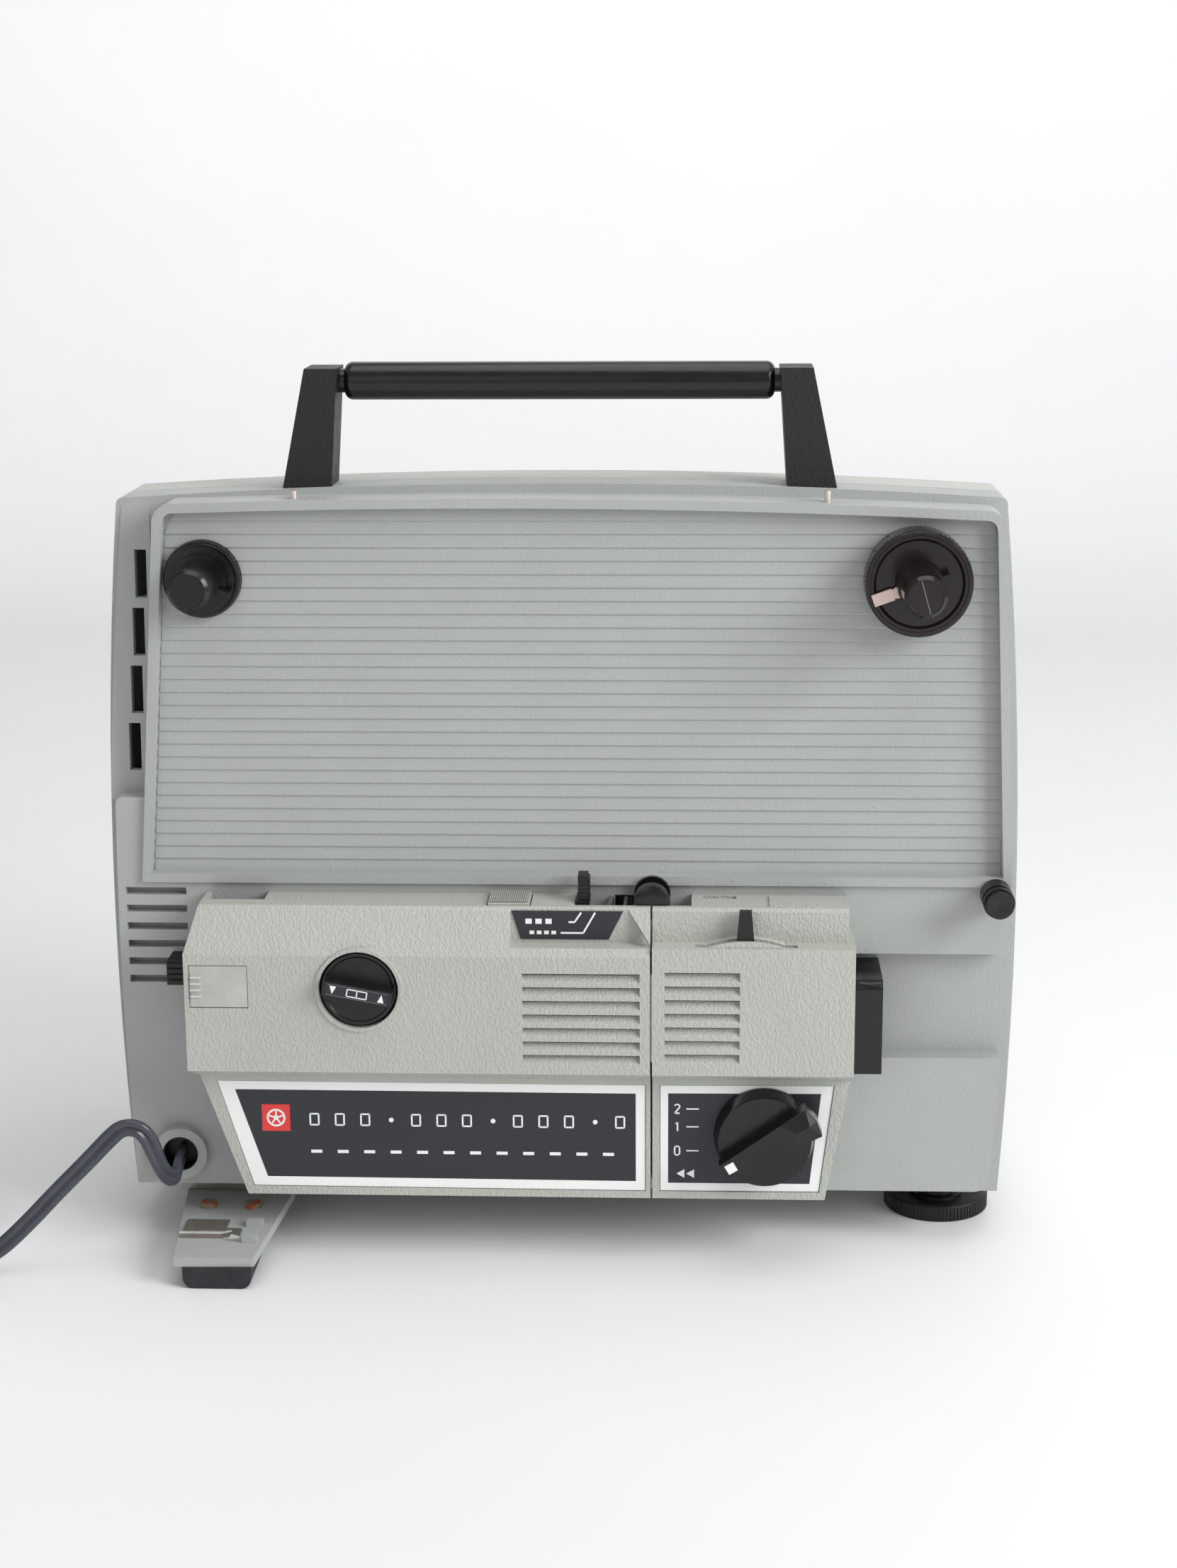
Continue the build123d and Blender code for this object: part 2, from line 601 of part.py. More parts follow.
def gate_plate():
    body = block(26.6, 27.8, -52.0, Y_CHANNEL, 63.0, 94.0)
    body += block(24.6, 27.8, -36.0, Y_CHANNEL, 64.0, 92.0)
    return body - block(24, 30, AXIS_Y - 2.7, AXIS_Y + 2.7, AXIS_Z - 2.0, AXIS_Z + 2.0)


def pressure_plate():
    """Sprung plate that holds the film flat against the gate."""
    body = block(28.1, 29.4, -50.0, -38.0, 64.0, 92.0)
    return body - block(28, 30, AXIS_Y - 3.5, AXIS_Y + 3.5, AXIS_Z - 3.0, AXIS_Z + 3.0)


def projector_lamp():
    """Halogen capsule cemented into a round mirror bowl that opens towards the gate."""
    bowl = rod_x(AXIS_Y, AXIS_Z, 12.0, -34.0, -18.0) - Pos(-14.0, AXIS_Y, AXIS_Z) * Sphere(15.5)
    capsule = rod_x(AXIS_Y, AXIS_Z, 4.5, -36.0, -18.0) + Pos(-18.0, AXIS_Y, AXIS_Z) * Sphere(4.5)
    return bowl + capsule


def lamp_socket():
    body = block(-50.0, -36.0, -53.0, Y_CHANNEL, 68.0, 88.0)
    body += block(-36.0, -34.0, -53.0, -50.0, 68.0, 88.0)
    body += block(-36.0, -34.0, -38.0, Y_CHANNEL, 68.0, 88.0)
    return body


def film_sprocket():
    """Toothed film drum, worm wheel and take-up pulley on one shaft."""
    body = rod_y(*SPROCKET, 7.6, -50.0, -42.0) + rod_y(*SPROCKET, 9.0, -50.0, -48.6)
    body += rod_y(*SPROCKET, 9.0, -43.4, -42.0)
    body += rod_y(*SPROCKET, 16.0, -14.0, -10.0) + rod_y(*SPROCKET, 6.0, -10.5, 5.0)
    body += rod_y(*SPROCKET, 9.0, -1.5, 0.0) + rod_y(*SPROCKET, 9.0, 3.0, 4.5)
    return body + rod_y(*SPROCKET, SHAFT_R, -42.5, 8.0)


def shutter_shaft():
    body = rod_x(SHUTTER_Y, AXIS_Z, SHAFT_R, -58.0, 30.0)
    body += rod_x(SHUTTER_Y, AXIS_Z, 5.0, -42.0, -18.0)
    wheel = rod_x(SHUTTER_Y, AXIS_Z, 13.0, 2.0, 8.0)
    groove = rod_x(SHUTTER_Y, AXIS_Z, 20.0, 3.5, 6.5) - rod_x(SHUTTER_Y, AXIS_Z, 11.0, 3.0, 7.0)
    return body + (wheel - groove)


def shutter_disc():
    """Three-bladed shutter that crosses the beam through a slot in the casting."""
    disc = rod_x(SHUTTER_Y, AXIS_Z, 33.5, 19.8, 20.8)
    for index in range(3):
        turn = Pos(0, SHUTTER_Y, AXIS_Z) * Rot(120 * index, 0, 0)
        disc -= turn * block(19, 22, 14, 40, -9, 9)
    disc += rod_x(SHUTTER_Y, AXIS_Z, 6.0, 19.8, 23.6)
    return disc - rod_x(SHUTTER_Y, AXIS_Z, SHAFT_R, 10, 30)


def shaft_bearings():
    """Two posts on the back of the channel floor that carry the shutter shaft."""
    posts = []
    for x in (-56.0, 12.0):
        post = block(x - 3, x + 3, Y_CHANNEL + WALL, SHUTTER_Y + 5, AXIS_Z - 7, AXIS_Z + 7)
        posts.append(post - rod_x(SHUTTER_Y, AXIS_Z, SHAFT_R + RUN, x - 5, x + 5))
    return Compound(posts)


def motor_case():
    body = rod_x(MOTOR_Y, MOTOR_Z, 22.0, -60.0, -10.0) - rod_x(MOTOR_Y, MOTOR_Z, 17.5, -57.0, -13.0)
    return body - rod_x(MOTOR_Y, MOTOR_Z, 3.0 + RUN, -70, 0)


def motor_rotor():
    body = rod_x(MOTOR_Y, MOTOR_Z, 17.0, -55.0, -15.0) + rod_x(MOTOR_Y, MOTOR_Z, 3.0, -86.0, 10.0)
    wheel = rod_x(MOTOR_Y, MOTOR_Z, 8.0, 2.0, 8.0)
    groove = rod_x(MOTOR_Y, MOTOR_Z, 20.0, 3.5, 6.5) - rod_x(MOTOR_Y, MOTOR_Z, 6.0, 3.0, 7.0)
    return body + (wheel - groove)


def cooling_fan():
    fan = rod_x(MOTOR_Y, MOTOR_Z, 9.0, -85.0, -69.0)
    for index in range(8):
        blade = block(-84.0, -70.0, 6.0, 28.0, -0.8, 0.8)
        fan += Pos(0, MOTOR_Y, MOTOR_Z) * Rot(45 * index, 0, 0) * blade
    return fan - rod_x(MOTOR_Y, MOTOR_Z, 3.0, -90, -60)


def motor_bracket():
    """Bent plate from the front casting's bosses to the motor case."""
    plate = block(-58.0, -12.0, Y_FRAME + WALL, Y_FRAME + WALL + 2, 108.0, 160.0)
    left_arm = block(-46.0, -40.0, -23.0, MOTOR_Y, 147.0, 150.0)
    right_arm = block(-20.0, -14.0, -23.0, MOTOR_Y, 147.0, 150.0)
    body = plate + left_arm + right_arm
    return body - rod_x(MOTOR_Y, MOTOR_Z, 22.0, -70, 0) - rod_y(*SPROCKET, 18.0, -19, 10)


def belt_ring(center_a, radius_a, center_b, radius_b):
    """A flat belt around two round pulleys whose axes are parallel."""
    rounds = []
    for thick in (BELT, 0):
        first = Pos(*center_a) * Circle(radius_a + thick)
        second = Pos(*center_b) * Circle(radius_b + thick)
        rounds.append(make_hull([*first.edges(), *second.edges()]))
    return rounds[0] - rounds[1]


def drive_belts():
    """Belt from the motor to the shutter shaft, and from the sprocket's shaft to the take-up."""
    motor_belt = bar(belt_ring((MOTOR_Y, MOTOR_Z), 6.3, (SHUTTER_Y, AXIS_Z), 11.3), 4.0, 6.0)
    take_up_belt = prism(belt_ring(SPROCKET, 6.3, TAKE_UP, 11.8), 0.6, 2.4)
    return Compound([motor_belt, take_up_belt])


def transformer_core():
    frame = block(35.0, 95.0, 12.0, 62.0, Z_BOTTOM + WALL - 0.5, 66.0)
    window = block(47.0, 83.0, 10.0, 64.0, 28.0, 56.0)
    middle_limb = block(60.0, 70.0, 12.0, 62.0, 27.0, 57.0)
    return frame - window + middle_limb


def transformer_coil():
    """Winding around the core's middle limb."""
    body = block(48.0, 82.0, 7.0, 67.0, 28.5, 55.5)
    return body - block(59.9, 70.1, 11.9, 62.1, 20.0, 60.0)


def level_foot():
    x, y = FOOT
    body = rod_z(x, y, 16.45, 0.0, 5.2)
    body = chamfer(body.edges().filter_by(GeomType.CIRCLE).group_by(Axis.Z)[-1], 0.6)
    body -= rod_z(x, y, 13.5, 3.8, 6.0)
    body += rod_z(x, y, 8.5, 3.0, 4.8) + rod_z(x, y, 6.0, 3.0, 12.5)
    return body + rod_z(x, y, 4.0, 12.0, 44.0)


def arm_plate():
    left_side = [(-119.0, -4.0), (-122.2, -20.8), (-116.1, -78.1)]
    right_side = [(-91.7, -77.4), (-87.3, -24.0), (-91.0, -4.0)]
    outline = poly(*left_side, *right_side)
    plate = extrude(Plane.XY.offset(7.0) * outline, amount=3.0)
    plate -= rod_z(*PIVOT, 3.0 + RUN, 0, 20)
    for x, y in ARM_SCREWS:
        plate -= rod_z(x, y, 1.5, 5, 12)
    for x_low, y_low in ((-97.8, -55.0), (-97.2, -66.8)):
        plate += block(x_low, -92.8, y_low, y_low + 3.6, 9.0, 11.8)
    return plate


def arm_foot():
    """Rubber pad under the front end of the folding arm."""
    pad = block(-113.5, -92.5, -78.2, -60.0, 0.0, 7.0)
    return fillet(pad.edges().filter_by(Axis.Y).group_by(Axis.Z)[0], 3.5)


def arm_clip():
    """Thin spring plate with its front edge turned up and a short tongue beside it."""
    body = block(-116.8, -103.6, -63.6, -50.5, 10.0, 10.7)
    body += block(-116.8, -103.6, -63.6, -63.0, 10.5, 12.2)
    return body + block(-103.7, -98.6, -62.5, -57.5, 10.0, 10.9)


def arm_screws():
    screws = []
    for x, y in ARM_SCREWS:
        head = rod_z(x, y, 2.6, 10.0, 11.6) + rod_z(x, y, 1.5, 5.8, 10.5)
        screws.append(head - block(x - 3, x + 3, y - 0.35, y + 0.35, 11.0, 12.0))
    return Compound(screws)


def arm_mount():
    """Spacer under the housing with the riveted pin that the arm turns on."""
    plate = block(-124.0, -86.0, -25.0, 2.0, 10.3, Z_BOTTOM)
    return plate + rod_z(*PIVOT, 3.0, 6.6, 20.0) + rod_z(*PIVOT, 5.0, 5.2, 6.7)


def rear_feet():
    feet = []
    for x in (-112.0, 112.0):
        foot = rod_z(x, 62.0, 8.0, 0.0, Z_BOTTOM)
        feet.append(chamfer(foot.edges().filter_by(GeomType.CIRCLE).group_by(Axis.Z)[0], 1.0))
    return Compound(feet)


def cord_gland():
    """Collar in the lower left of the front face where the mains lead comes out."""
    body = rod_y(*GLAND, 8.4, Y_FACE - 3.5, Y_FACE) + rod_y(*GLAND, 6.6, Y_FACE - 1, -30.0)
    return body - rod_y(*GLAND, 5.6, -50, -36.0)


def cord_radii():
    """The largest arc that the two runs beside each corner leave room for."""
    points = [Vector(*point) for point in CORD_ROUTE]
    radii = []
    for before, corner, after in zip(points, points[1:], points[2:]):
        turn = (corner - before).get_angle(after - corner)
        shorter = min((corner - before).length, (after - corner).length)
        radii.append(0.45 * shorter / math.tan(math.radians(turn / 2)))
    return radii


def mains_cord():
    """The stretch of the lead between the gland and the coil."""
    radii = cord_radii()
    path = FilletPolyline(*CORD_ROUTE, radius=radii)
    start = Plane(origin=path @ 0, z_dir=path % 0)
    tube = sweep(start * Circle(CORD_WIDE / 2), path=path)
    section = math.pi * (CORD_WIDE / 2) ** 2
    print("cord radii", [round(radius, 1) for radius in radii])
    ratio = tube.volume / section / path.length
    print("cord length", round(path.length, 1), "volume ratio", round(ratio, 4))
    return tube


def cord_coil():
    """Outer shape of the wound-up length of the lead."""
    x, y = COIL
    ring = rod_z(x, y, COIL_MEAN_R + 8.6, 0.0, 11.6) - rod_z(x, y, COIL_MEAN_R - 8.6, -1.0, 13.0)
    return fillet(ring.edges().filter_by(GeomType.CIRCLE), 2.0)


def plug_place():
    return COIL[0], COIL[1] + COIL_MEAN_R


def mains_plug():
    """Flat two-blade plug with a ribbed tail, lying on the coil."""
    x, y = plug_place()
    body = block(x - 14, x + 12, y - 11, y + 11, 11.6, 25.6)
    body = fillet(body.edges().filter_by(Axis.X), 3.0)
    tail = rod_x(y, 18.6, 4.4, x - 30, x - 13)
    for index in range(3):
        start = x - 27 + index * 4
        tail -= rod_x(y, 18.6, 9.0, start, start + 1.5) - rod_x(y, 18.6, 3.4, start - 1, start + 3)
    return body + tail - plug_blades()


def plug_blades():
    x, y = plug_place()
    blades = []
    for side in (-6.35, 6.35):
        blades.append(block(x + 8, x + 29, y + side - 0.75, y + side + 0.75, 15.4, 21.8))
    return Compound(blades)


PIECES = (
    front_casting,
    rear_cover,
    back_screws,
    handle_posts,
    handle_grip,
    lid_pins,
    lamp_cover,
    name_plate,
    film_label,
    side_hatch,
    release_button,
    framer_dial,
    side_latch,
    lens_cover,
    control_plate,
    format_lever,
    guide_rods,
    film_roller,
    roller_pins,
    guide_roller,
    spindle_bushings,
    take_up_spindle,
    supply_spindle,
    supply_latch,
    take_up_pulley,
    control_knob,
    rotary_switch,
    focus_lever,
    focus_pivot,
    lens_barrel,
    lens_glass,
    lens_carrier,
    lens_hood,
    gate_plate,
    pressure_plate,
    projector_lamp,
    lamp_socket,
    film_sprocket,
    shutter_shaft,
    shutter_disc,
    shaft_bearings,
    motor_case,
    motor_rotor,
    cooling_fan,
    motor_bracket,
    drive_belts,
    transformer_core,
    transformer_coil,
    level_foot,
    arm_plate,
    arm_foot,
    arm_clip,
    arm_screws,
    arm_mount,
    rear_feet,
    cord_gland,
    mains_cord,
    cord_coil,
    mains_plug,
    plug_blades,
)


def main():
    os.makedirs("parts", exist_ok=True)
    for piece in PIECES:
        export_step(piece(), f"parts/{piece.__name__}.step")


main()
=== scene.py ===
import math

import bmesh
import bpy
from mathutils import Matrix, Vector


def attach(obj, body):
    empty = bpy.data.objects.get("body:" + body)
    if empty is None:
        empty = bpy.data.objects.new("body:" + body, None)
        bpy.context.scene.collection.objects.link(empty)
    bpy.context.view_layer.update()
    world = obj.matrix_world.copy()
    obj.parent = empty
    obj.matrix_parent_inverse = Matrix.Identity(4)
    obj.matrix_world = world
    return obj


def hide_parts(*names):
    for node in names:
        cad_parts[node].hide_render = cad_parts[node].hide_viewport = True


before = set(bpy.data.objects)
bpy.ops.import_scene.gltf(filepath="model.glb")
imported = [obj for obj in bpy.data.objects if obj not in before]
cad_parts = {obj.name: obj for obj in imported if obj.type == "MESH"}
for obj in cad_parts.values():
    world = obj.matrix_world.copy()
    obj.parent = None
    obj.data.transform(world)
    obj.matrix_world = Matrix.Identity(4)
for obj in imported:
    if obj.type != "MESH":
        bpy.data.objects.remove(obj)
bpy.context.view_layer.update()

MM = 0.001

# ---------------------------------------------------------------------------
# Colours, as seen in daylight (sRGB 0..255), turned into Blender's linear ones
# ---------------------------------------------------------------------------


def tone(red, green, blue):
    linear = []
    for value in (red, green, blue):
        share = value / 255
        linear.append(share / 12.92 if share <= 0.04045 else ((share + 0.055) / 1.055) ** 2.4)
    return (*linear, 1.0)


GREY_FACE = tone(172, 176, 175)
GREY_COVER = tone(183, 187, 180)
GREY_BACK = tone(190, 190, 186)
BLACK = tone(16, 14, 15)
PLATE_DARK = tone(38, 41, 48)
PLATE_WHITE = tone(246, 246, 246)
MARK_RED = tone(226, 62, 58)
RUBBER = tone(38, 41, 45)
STEEL = tone(190, 190, 188)
WHITE_PLASTIC = tone(225, 222, 214)


# ---------------------------------------------------------------------------
# Materials
# ---------------------------------------------------------------------------


class Look:
    """A node material under construction, with its principled shader."""

    def __init__(self, name):
        self.material = bpy.data.materials.new(name)
        self.material.use_nodes = True
        self.tree = self.material.node_tree
        self.shader = self.tree.nodes["Principled BSDF"]
        self.where = self.add("ShaderNodeTexCoord").outputs["Object"]

    def add(self, kind, **values):
        node = self.tree.nodes.new(kind)
        for key, value in values.items():
            if key in node.inputs:
                node.inputs[key].default_value = value
            else:
                setattr(node, key, value)
        return node

    def link(self, source, target):
        self.tree.links.new(source, target)

    def noise(self, scale, detail=3.0, roughness=0.55, stretch=(1, 1, 1)):
        place = self.add("ShaderNodeMapping")
        place.inputs["Scale"].default_value = stretch
        self.link(self.where, place.inputs["Vector"])
        node = self.add("ShaderNodeTexNoise", Scale=scale, Detail=detail, Roughness=roughness)
        self.link(place.outputs[0], node.inputs["Vector"])
        return node.outputs["Fac"]

    def cells(self, scale):
        node = self.add("ShaderNodeTexVoronoi", Scale=scale)
        self.link(self.where, node.inputs["Vector"])
        return node.outputs["Distance"]

    def spread(self, source, low, high, to_low=0.0, to_high=1.0):
        node = self.add("ShaderNodeMapRange")
        for index, value in enumerate((low, high, to_low, to_high), 1):
            node.inputs[index].default_value = value
        self.link(source, node.inputs[0])
        return node.outputs[0]

    def blend(self, share, first, second):
        node = self.add("ShaderNodeMix", data_type="RGBA")
        for socket, value in ((node.inputs[6], first), (node.inputs[7], second)):
            if isinstance(value, tuple):
                socket.default_value = value
            else:
                self.link(value, socket)
        self.link(share, node.inputs[0])
        return node.outputs[2]

    def colour(self, source):
        self.link(source, self.shader.inputs["Base Color"])

    def rough(self, source):
        self.link(source, self.shader.inputs["Roughness"])

    def bump(self, source, strength, distance, after=None):
        node = self.add("ShaderNodeBump", Strength=strength, Distance=distance)
        self.link(source, node.inputs["Height"])
        if after is not None:
            self.link(after, node.inputs["Normal"])
        self.link(node.outputs[0], self.shader.inputs["Normal"])
        return node.outputs[0]

    def set(self, **values):
        for key, value in values.items():
            self.shader.inputs[key.replace("_", " ")].default_value = value
        return self


def shade(colour, factor):
    return (*(min(1.0, part * factor) for part in colour[:3]), 1.0)


def mottled(look, colour, light=1.06, dark=0.93, scale=40.0):
    patches = look.spread(look.noise(scale, 4.0), 0.35, 0.65)
    look.colour(look.blend(patches, shade(colour, dark), shade(colour, light)))


def painted_casting(name, colour):
    """Satin paint over a sand-textured die casting, with specks of dust."""
    look = Look(name)
    mottled(look, colour, 1.02, 0.98)
    look.rough(look.spread(look.noise(90.0), 0.3, 0.7, 0.5, 0.64))
    sand = look.bump(look.noise(1000.0, 3.0, 0.6), 0.4, 0.0004)
    specks = look.spread(look.cells(330.0), 0.0, 0.16, 1.0, 0.0)
    sand = look.bump(specks, 0.25, 0.0004, sand)
    look.bump(look.noise(45.0, 2.0), 0.06, 0.001, sand)
    return look.material


def grained_plastic(name, colour, grain=0.35, warp=(1.0, 1.0, 0.55)):
    """Moulded plastic with a leather-like grain of irregular pebbles."""
    look = Look(name)
    mottled(look, colour, 1.02, 0.98, 30.0)
    look.rough(look.spread(look.noise(300.0), 0.3, 0.7, 0.45, 0.6))
    creases = look.noise(1350.0, 2.0, 0.5, warp)
    pebbles = look.bump(look.spread(creases, 0.42, 0.58), grain, 0.00025)
    look.bump(look.noise(1600.0, 2.0), grain * 0.4, 0.0002, pebbles)
    return look.material


def smooth_plastic(name, colour, low=0.22, high=0.36):
    look = Look(name)
    mottled(look, colour, 1.1, 0.9, 80.0)
    look.rough(look.spread(look.noise(160.0, 4.0), 0.3, 0.7, low, high))
    look.bump(look.noise(1500.0, 2.0), 0.05, 0.0001)
    return look.material


def rubber_look(name, colour):
    look = Look(name)
    mottled(look, colour, 1.25, 0.8, 120.0)
    look.rough(look.spread(look.noise(400.0), 0.3, 0.7, 0.6, 0.85))
    look.bump(look.noise(2200.0, 3.0), 0.2, 0.0002)
    return look.material


def metal(name, colour, low, high, streak=(1, 1, 14)):
    """Bare or plated metal with fine drawn streaks and a few duller patches."""
    look = Look(name)
    look.set(Metallic=1.0)
    mottled(look, colour, 1.05, 0.88, 60.0)
    look.rough(look.spread(look.noise(500.0, 3.0, 0.6, streak), 0.3, 0.7, low, high))
    look.bump(look.noise(900.0, 2.0, 0.5, streak), 0.06, 0.0001)
    return look.material


def rusty_steel(name):
    look = Look(name)
    rust = look.spread(look.noise(450.0, 5.0), 0.42, 0.6)
    look.colour(look.blend(rust, tone(150, 136, 122), tone(186, 98, 60)))
    look.rough(look.spread(rust, 0, 1, 0.45, 0.9))
    look.set(Metallic=0.35)
    look.bump(look.noise(1500.0, 4.0), 0.5, 0.0003)
    return look.material


def printed(name, colour, sheen=0.34):
    """Silk-screened sheet: flat colour with the faintest mottle and fine scuffs."""
    look = Look(name)
    mottled(look, colour, 1.01, 0.99, 60.0)
    scuffs = look.noise(420.0, 5.0, 0.7, (1, 1, 9))
    look.rough(look.spread(scuffs, 0.35, 0.75, sheen, sheen + 0.16))
    look.bump(look.noise(2600.0, 2.0), 0.05, 0.00005)
    return look.material


def coated_glass(name):
    look = Look(name)
    look.set(Roughness=0.02, IOR=1.52, Transmission_Weight=0.85)
    look.colour(look.blend(look.spread(look.noise(60.0), 0.4, 0.6), tone(92, 84, 128), tone(70, 96, 140)))
    look.set(Coat_Weight=0.6, Coat_Roughness=0.03)
    return look.material


LOOKS = {
    "casting": painted_casting("satin_grey_casting", GREY_FACE),
    "cover": grained_plastic("grained_grey_cover", GREY_COVER, 0.5),
    "back": grained_plastic("grained_pale_back", GREY_BACK, 0.2),
    "smooth_grey": smooth_plastic("smooth_grey_plastic", GREY_COVER, 0.4, 0.55),
    # Lighter copy of the hatch's grey for its raised ridges: painted highlight.
    "lit_ridge_grey": smooth_plastic("painted_ridge_highlight", tone(206, 210, 204), 0.35, 0.5),
    "soft_black": smooth_plastic("satin_black_plastic", tone(20, 20, 22), 0.36, 0.5),
    # Mid grey for the dial label's printed border, and painted highlight on the supply spindle's mould lines.
    "print_and_seam_highlight": printed("seam_highlight_and_print_grey", tone(128, 130, 134), 0.4),
    "black": smooth_plastic("glossy_black_plastic", BLACK, 0.16, 0.3),
    "dish": smooth_plastic("brownish_glossy_dish", tone(26, 18, 17), 0.1, 0.2),
    "black_matte": grained_plastic("matte_black_plastic", tone(22, 22, 24), 0.12),
    "post": grained_plastic("leathery_black_posts", tone(26, 25, 28), 0.3),
    "plate": printed("printed_dark_plate", PLATE_DARK),
    "white_print": printed("printed_white", PLATE_WHITE, 0.4),
    "red_print": printed("printed_red", MARK_RED, 0.4),
    "steel": metal("polished_steel", STEEL, 0.14, 0.3),
    "pale_pin": metal("pale_copper_pins", tone(246, 234, 226), 0.34, 0.46),
    # Near-white metal strips on the arm's edges: painted highlight where the edges catch the light.
    "edge_highlight_metal": metal("painted_edge_highlight", tone(252, 250, 248), 0.4, 0.5),
    "zinc": metal("zinc_plated_steel", tone(168, 166, 158), 0.3, 0.5),
    "rusty": rusty_steel("rusty_screw_steel"),
    "dull_strip": metal("dull_spring_strip", tone(168, 160, 152), 0.5, 0.65),
    "chrome": metal("bright_chrome", tone(214, 214, 214), 0.05, 0.14),
    "bronze": metal("oiled_bronze", tone(176, 138, 84), 0.3, 0.45),
    "brass": metal("plain_brass", tone(205, 176, 112), 0.2, 0.34),
    "copper": metal("varnished_copper", tone(172, 92, 54), 0.25, 0.4, (14, 1, 1)),
    "iron": metal("laminated_iron", tone(84, 80, 76), 0.5, 0.7, (30, 1, 1)),
    "rubber": rubber_look("matte_rubber", RUBBER),
    "nylon": smooth_plastic("white_nylon", WHITE_PLASTIC, 0.3, 0.45),
    "pink": smooth_plastic("pale_pink_latch", tone(228, 204, 196), 0.3, 0.45),
    "ceramic": rubber_look("unglazed_ceramic", tone(214, 206, 190)),
    # Lightened, bluish grey cord vinyl: the vinyl's own dark colour with a painted sheen on top.
    "vinyl": smooth_plastic("cord_vinyl_painted_sheen", tone(66, 69, 78), 0.2, 0.32),
    "glass": coated_glass("coated_glass"),
    "mirror": metal("mirror_bowl", tone(222, 222, 224), 0.03, 0.08, (1, 1, 1)),
}

NODE_LOOK = {
    "casting": "front_casting arm_plate cord_gland",
    "back": "rear_cover",
    "cover": "lamp_cover lens_cover",
    "smooth_grey": "side_hatch release_button",
    "post": "handle_posts",
    "dish": "supply_spindle",
    "black": "take_up_spindle control_knob film_roller lens_hood handle_grip",
    "soft_black": "framer_dial format_lever guide_roller level_foot focus_lever",
    "black_matte": "side_latch rotary_switch lens_barrel lens_carrier shutter_disc cooling_fan",
    "plate": "name_plate control_plate film_label",
    "steel": "guide_rods roller_pins focus_pivot shutter_shaft motor_rotor",
    "zinc": "back_screws motor_case motor_bracket arm_mount",
    "rusty": "arm_screws",
    "dull_strip": "arm_clip",
    "chrome": "gate_plate pressure_plate",
    "bronze": "spindle_bushings shaft_bearings",
    "brass": "plug_blades",
    "pale_pin": "lid_pins",
    "copper": "transformer_coil",
    "iron": "transformer_core",
    "rubber": "arm_foot rear_feet drive_belts",
    "nylon": "film_sprocket take_up_pulley",
    "pink": "supply_latch",
    "ceramic": "lamp_socket",
    "vinyl": "mains_plug",
    "glass": "lens_glass",
    "mirror": "projector_lamp",
}


def dress(node, look, bevel=0.0):
    """Gives a CAD node its material and, where asked, slightly rounded edges."""
    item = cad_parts[node]
    item.data.materials.clear()
    item.data.materials.append(LOOKS[look])
    if bevel:
        weld = item.modifiers.new("weld", "WELD")
        weld.merge_threshold = 0.00001
        round_edges(item, bevel)


def round_edges(item, width, segments=2):
    bevel = item.modifiers.new("rounded_edges", "BEVEL")
    bevel.width = width
    bevel.segments = segments
    bevel.limit_method = "ANGLE"
    bevel.angle_limit = math.radians(35)
    bevel.harden_normals = False
    return bevel


BEVELS = {
    "front_casting": 0.0007,
    "lamp_cover": 0.0005,
    "lens_cover": 0.0005,
    "framer_dial": 0.0004,
    "level_foot": 0.0004,
    "arm_foot": 0.0008,
    "handle_posts": 0.0012,
    "rear_cover": 0.0004,
    "control_knob": 0.0006,
    "lens_hood": 0.0006,
    "mains_plug": 0.0008,
    "release_button": 0.0003,
    "side_hatch": 0.0003,
}

for look_name, node_names in NODE_LOOK.items():
    for node_name in node_names.split():
        dress(node_name, look_name, BEVELS.get(node_name, 0.0))


# ---------------------------------------------------------------------------
# Mesh helpers: lengths in millimetres, in the projector's frame
# ---------------------------------------------------------------------------


def piece(name, mesh_builder, look, body, stands_for=()):
    """Makes an object from a function that fills a bmesh, and lets it ride on a body."""
    mesh = bpy.data.meshes.new(name)
    form = bmesh.new()
    mesh_builder(form)
    bmesh.ops.recalc_face_normals(form, faces=form.faces)
    bmesh.ops.scale(form, vec=(MM, MM, MM), verts=form.verts)
    form.to_mesh(mesh)
    form.free()
    item = bpy.data.objects.new(name, mesh)
    bpy.context.scene.collection.objects.link(item)
    item.data.materials.append(LOOKS[look])
    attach(item, body)
    if stands_for:
        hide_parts(*stands_for)
    return item


def smooth(item, angle=35):
    item.data.shade_smooth()
    item.data.set_sharp_from_angle(angle=math.radians(angle))
    return item


def add_prism(form, outline, y_front, y_back):
    """Flat outline given in x and z, solid between two depths."""
    front = [form.verts.new((x, y_front, z)) for x, z in outline]
    back = [form.verts.new((x, y_back, z)) for x, z in outline]
    form.faces.new(front)
    form.faces.new(back[::-1])
    count = len(outline)
    for index in range(count):
        after = (index + 1) % count
        form.faces.new((front[after], front[index], back[index], back[after]))


def add_box(form, x0, x1, y0, y1, z0, z1):
    add_prism(form, [(x0, z0), (x1, z0), (x1, z1), (x0, z1)], y0, y1)


def add_lathe(form, axis_at, profile, segments=64, ridge=None):
    """Turned form about an axis along y. The profile lists (radius, y); ridge(i) scales a radius."""
    rings = []
    for radius, y in profile:
        ring = []
        for index in range(segments):
            angle = 2 * math.pi * index / segments
            reach = radius * (ridge(index, radius) if ridge else 1.0)
            x = axis_at[0] + reach * math.cos(angle)
            z = axis_at[1] + reach * math.sin(angle)
            ring.append(form.verts.new((x, y, z)))
        rings.append(ring)
    for first, second in zip(rings, rings[1:]):
        for index in range(segments):
            after = (index + 1) % segments
            form.faces.new((first[index], first[after], second[after], second[index]))
    form.faces.new(rings[0])
    form.faces.new(rings[-1][::-1])


# ---------------------------------------------------------------------------
# Reel panel: level lapped ribs inside the rim
# ---------------------------------------------------------------------------

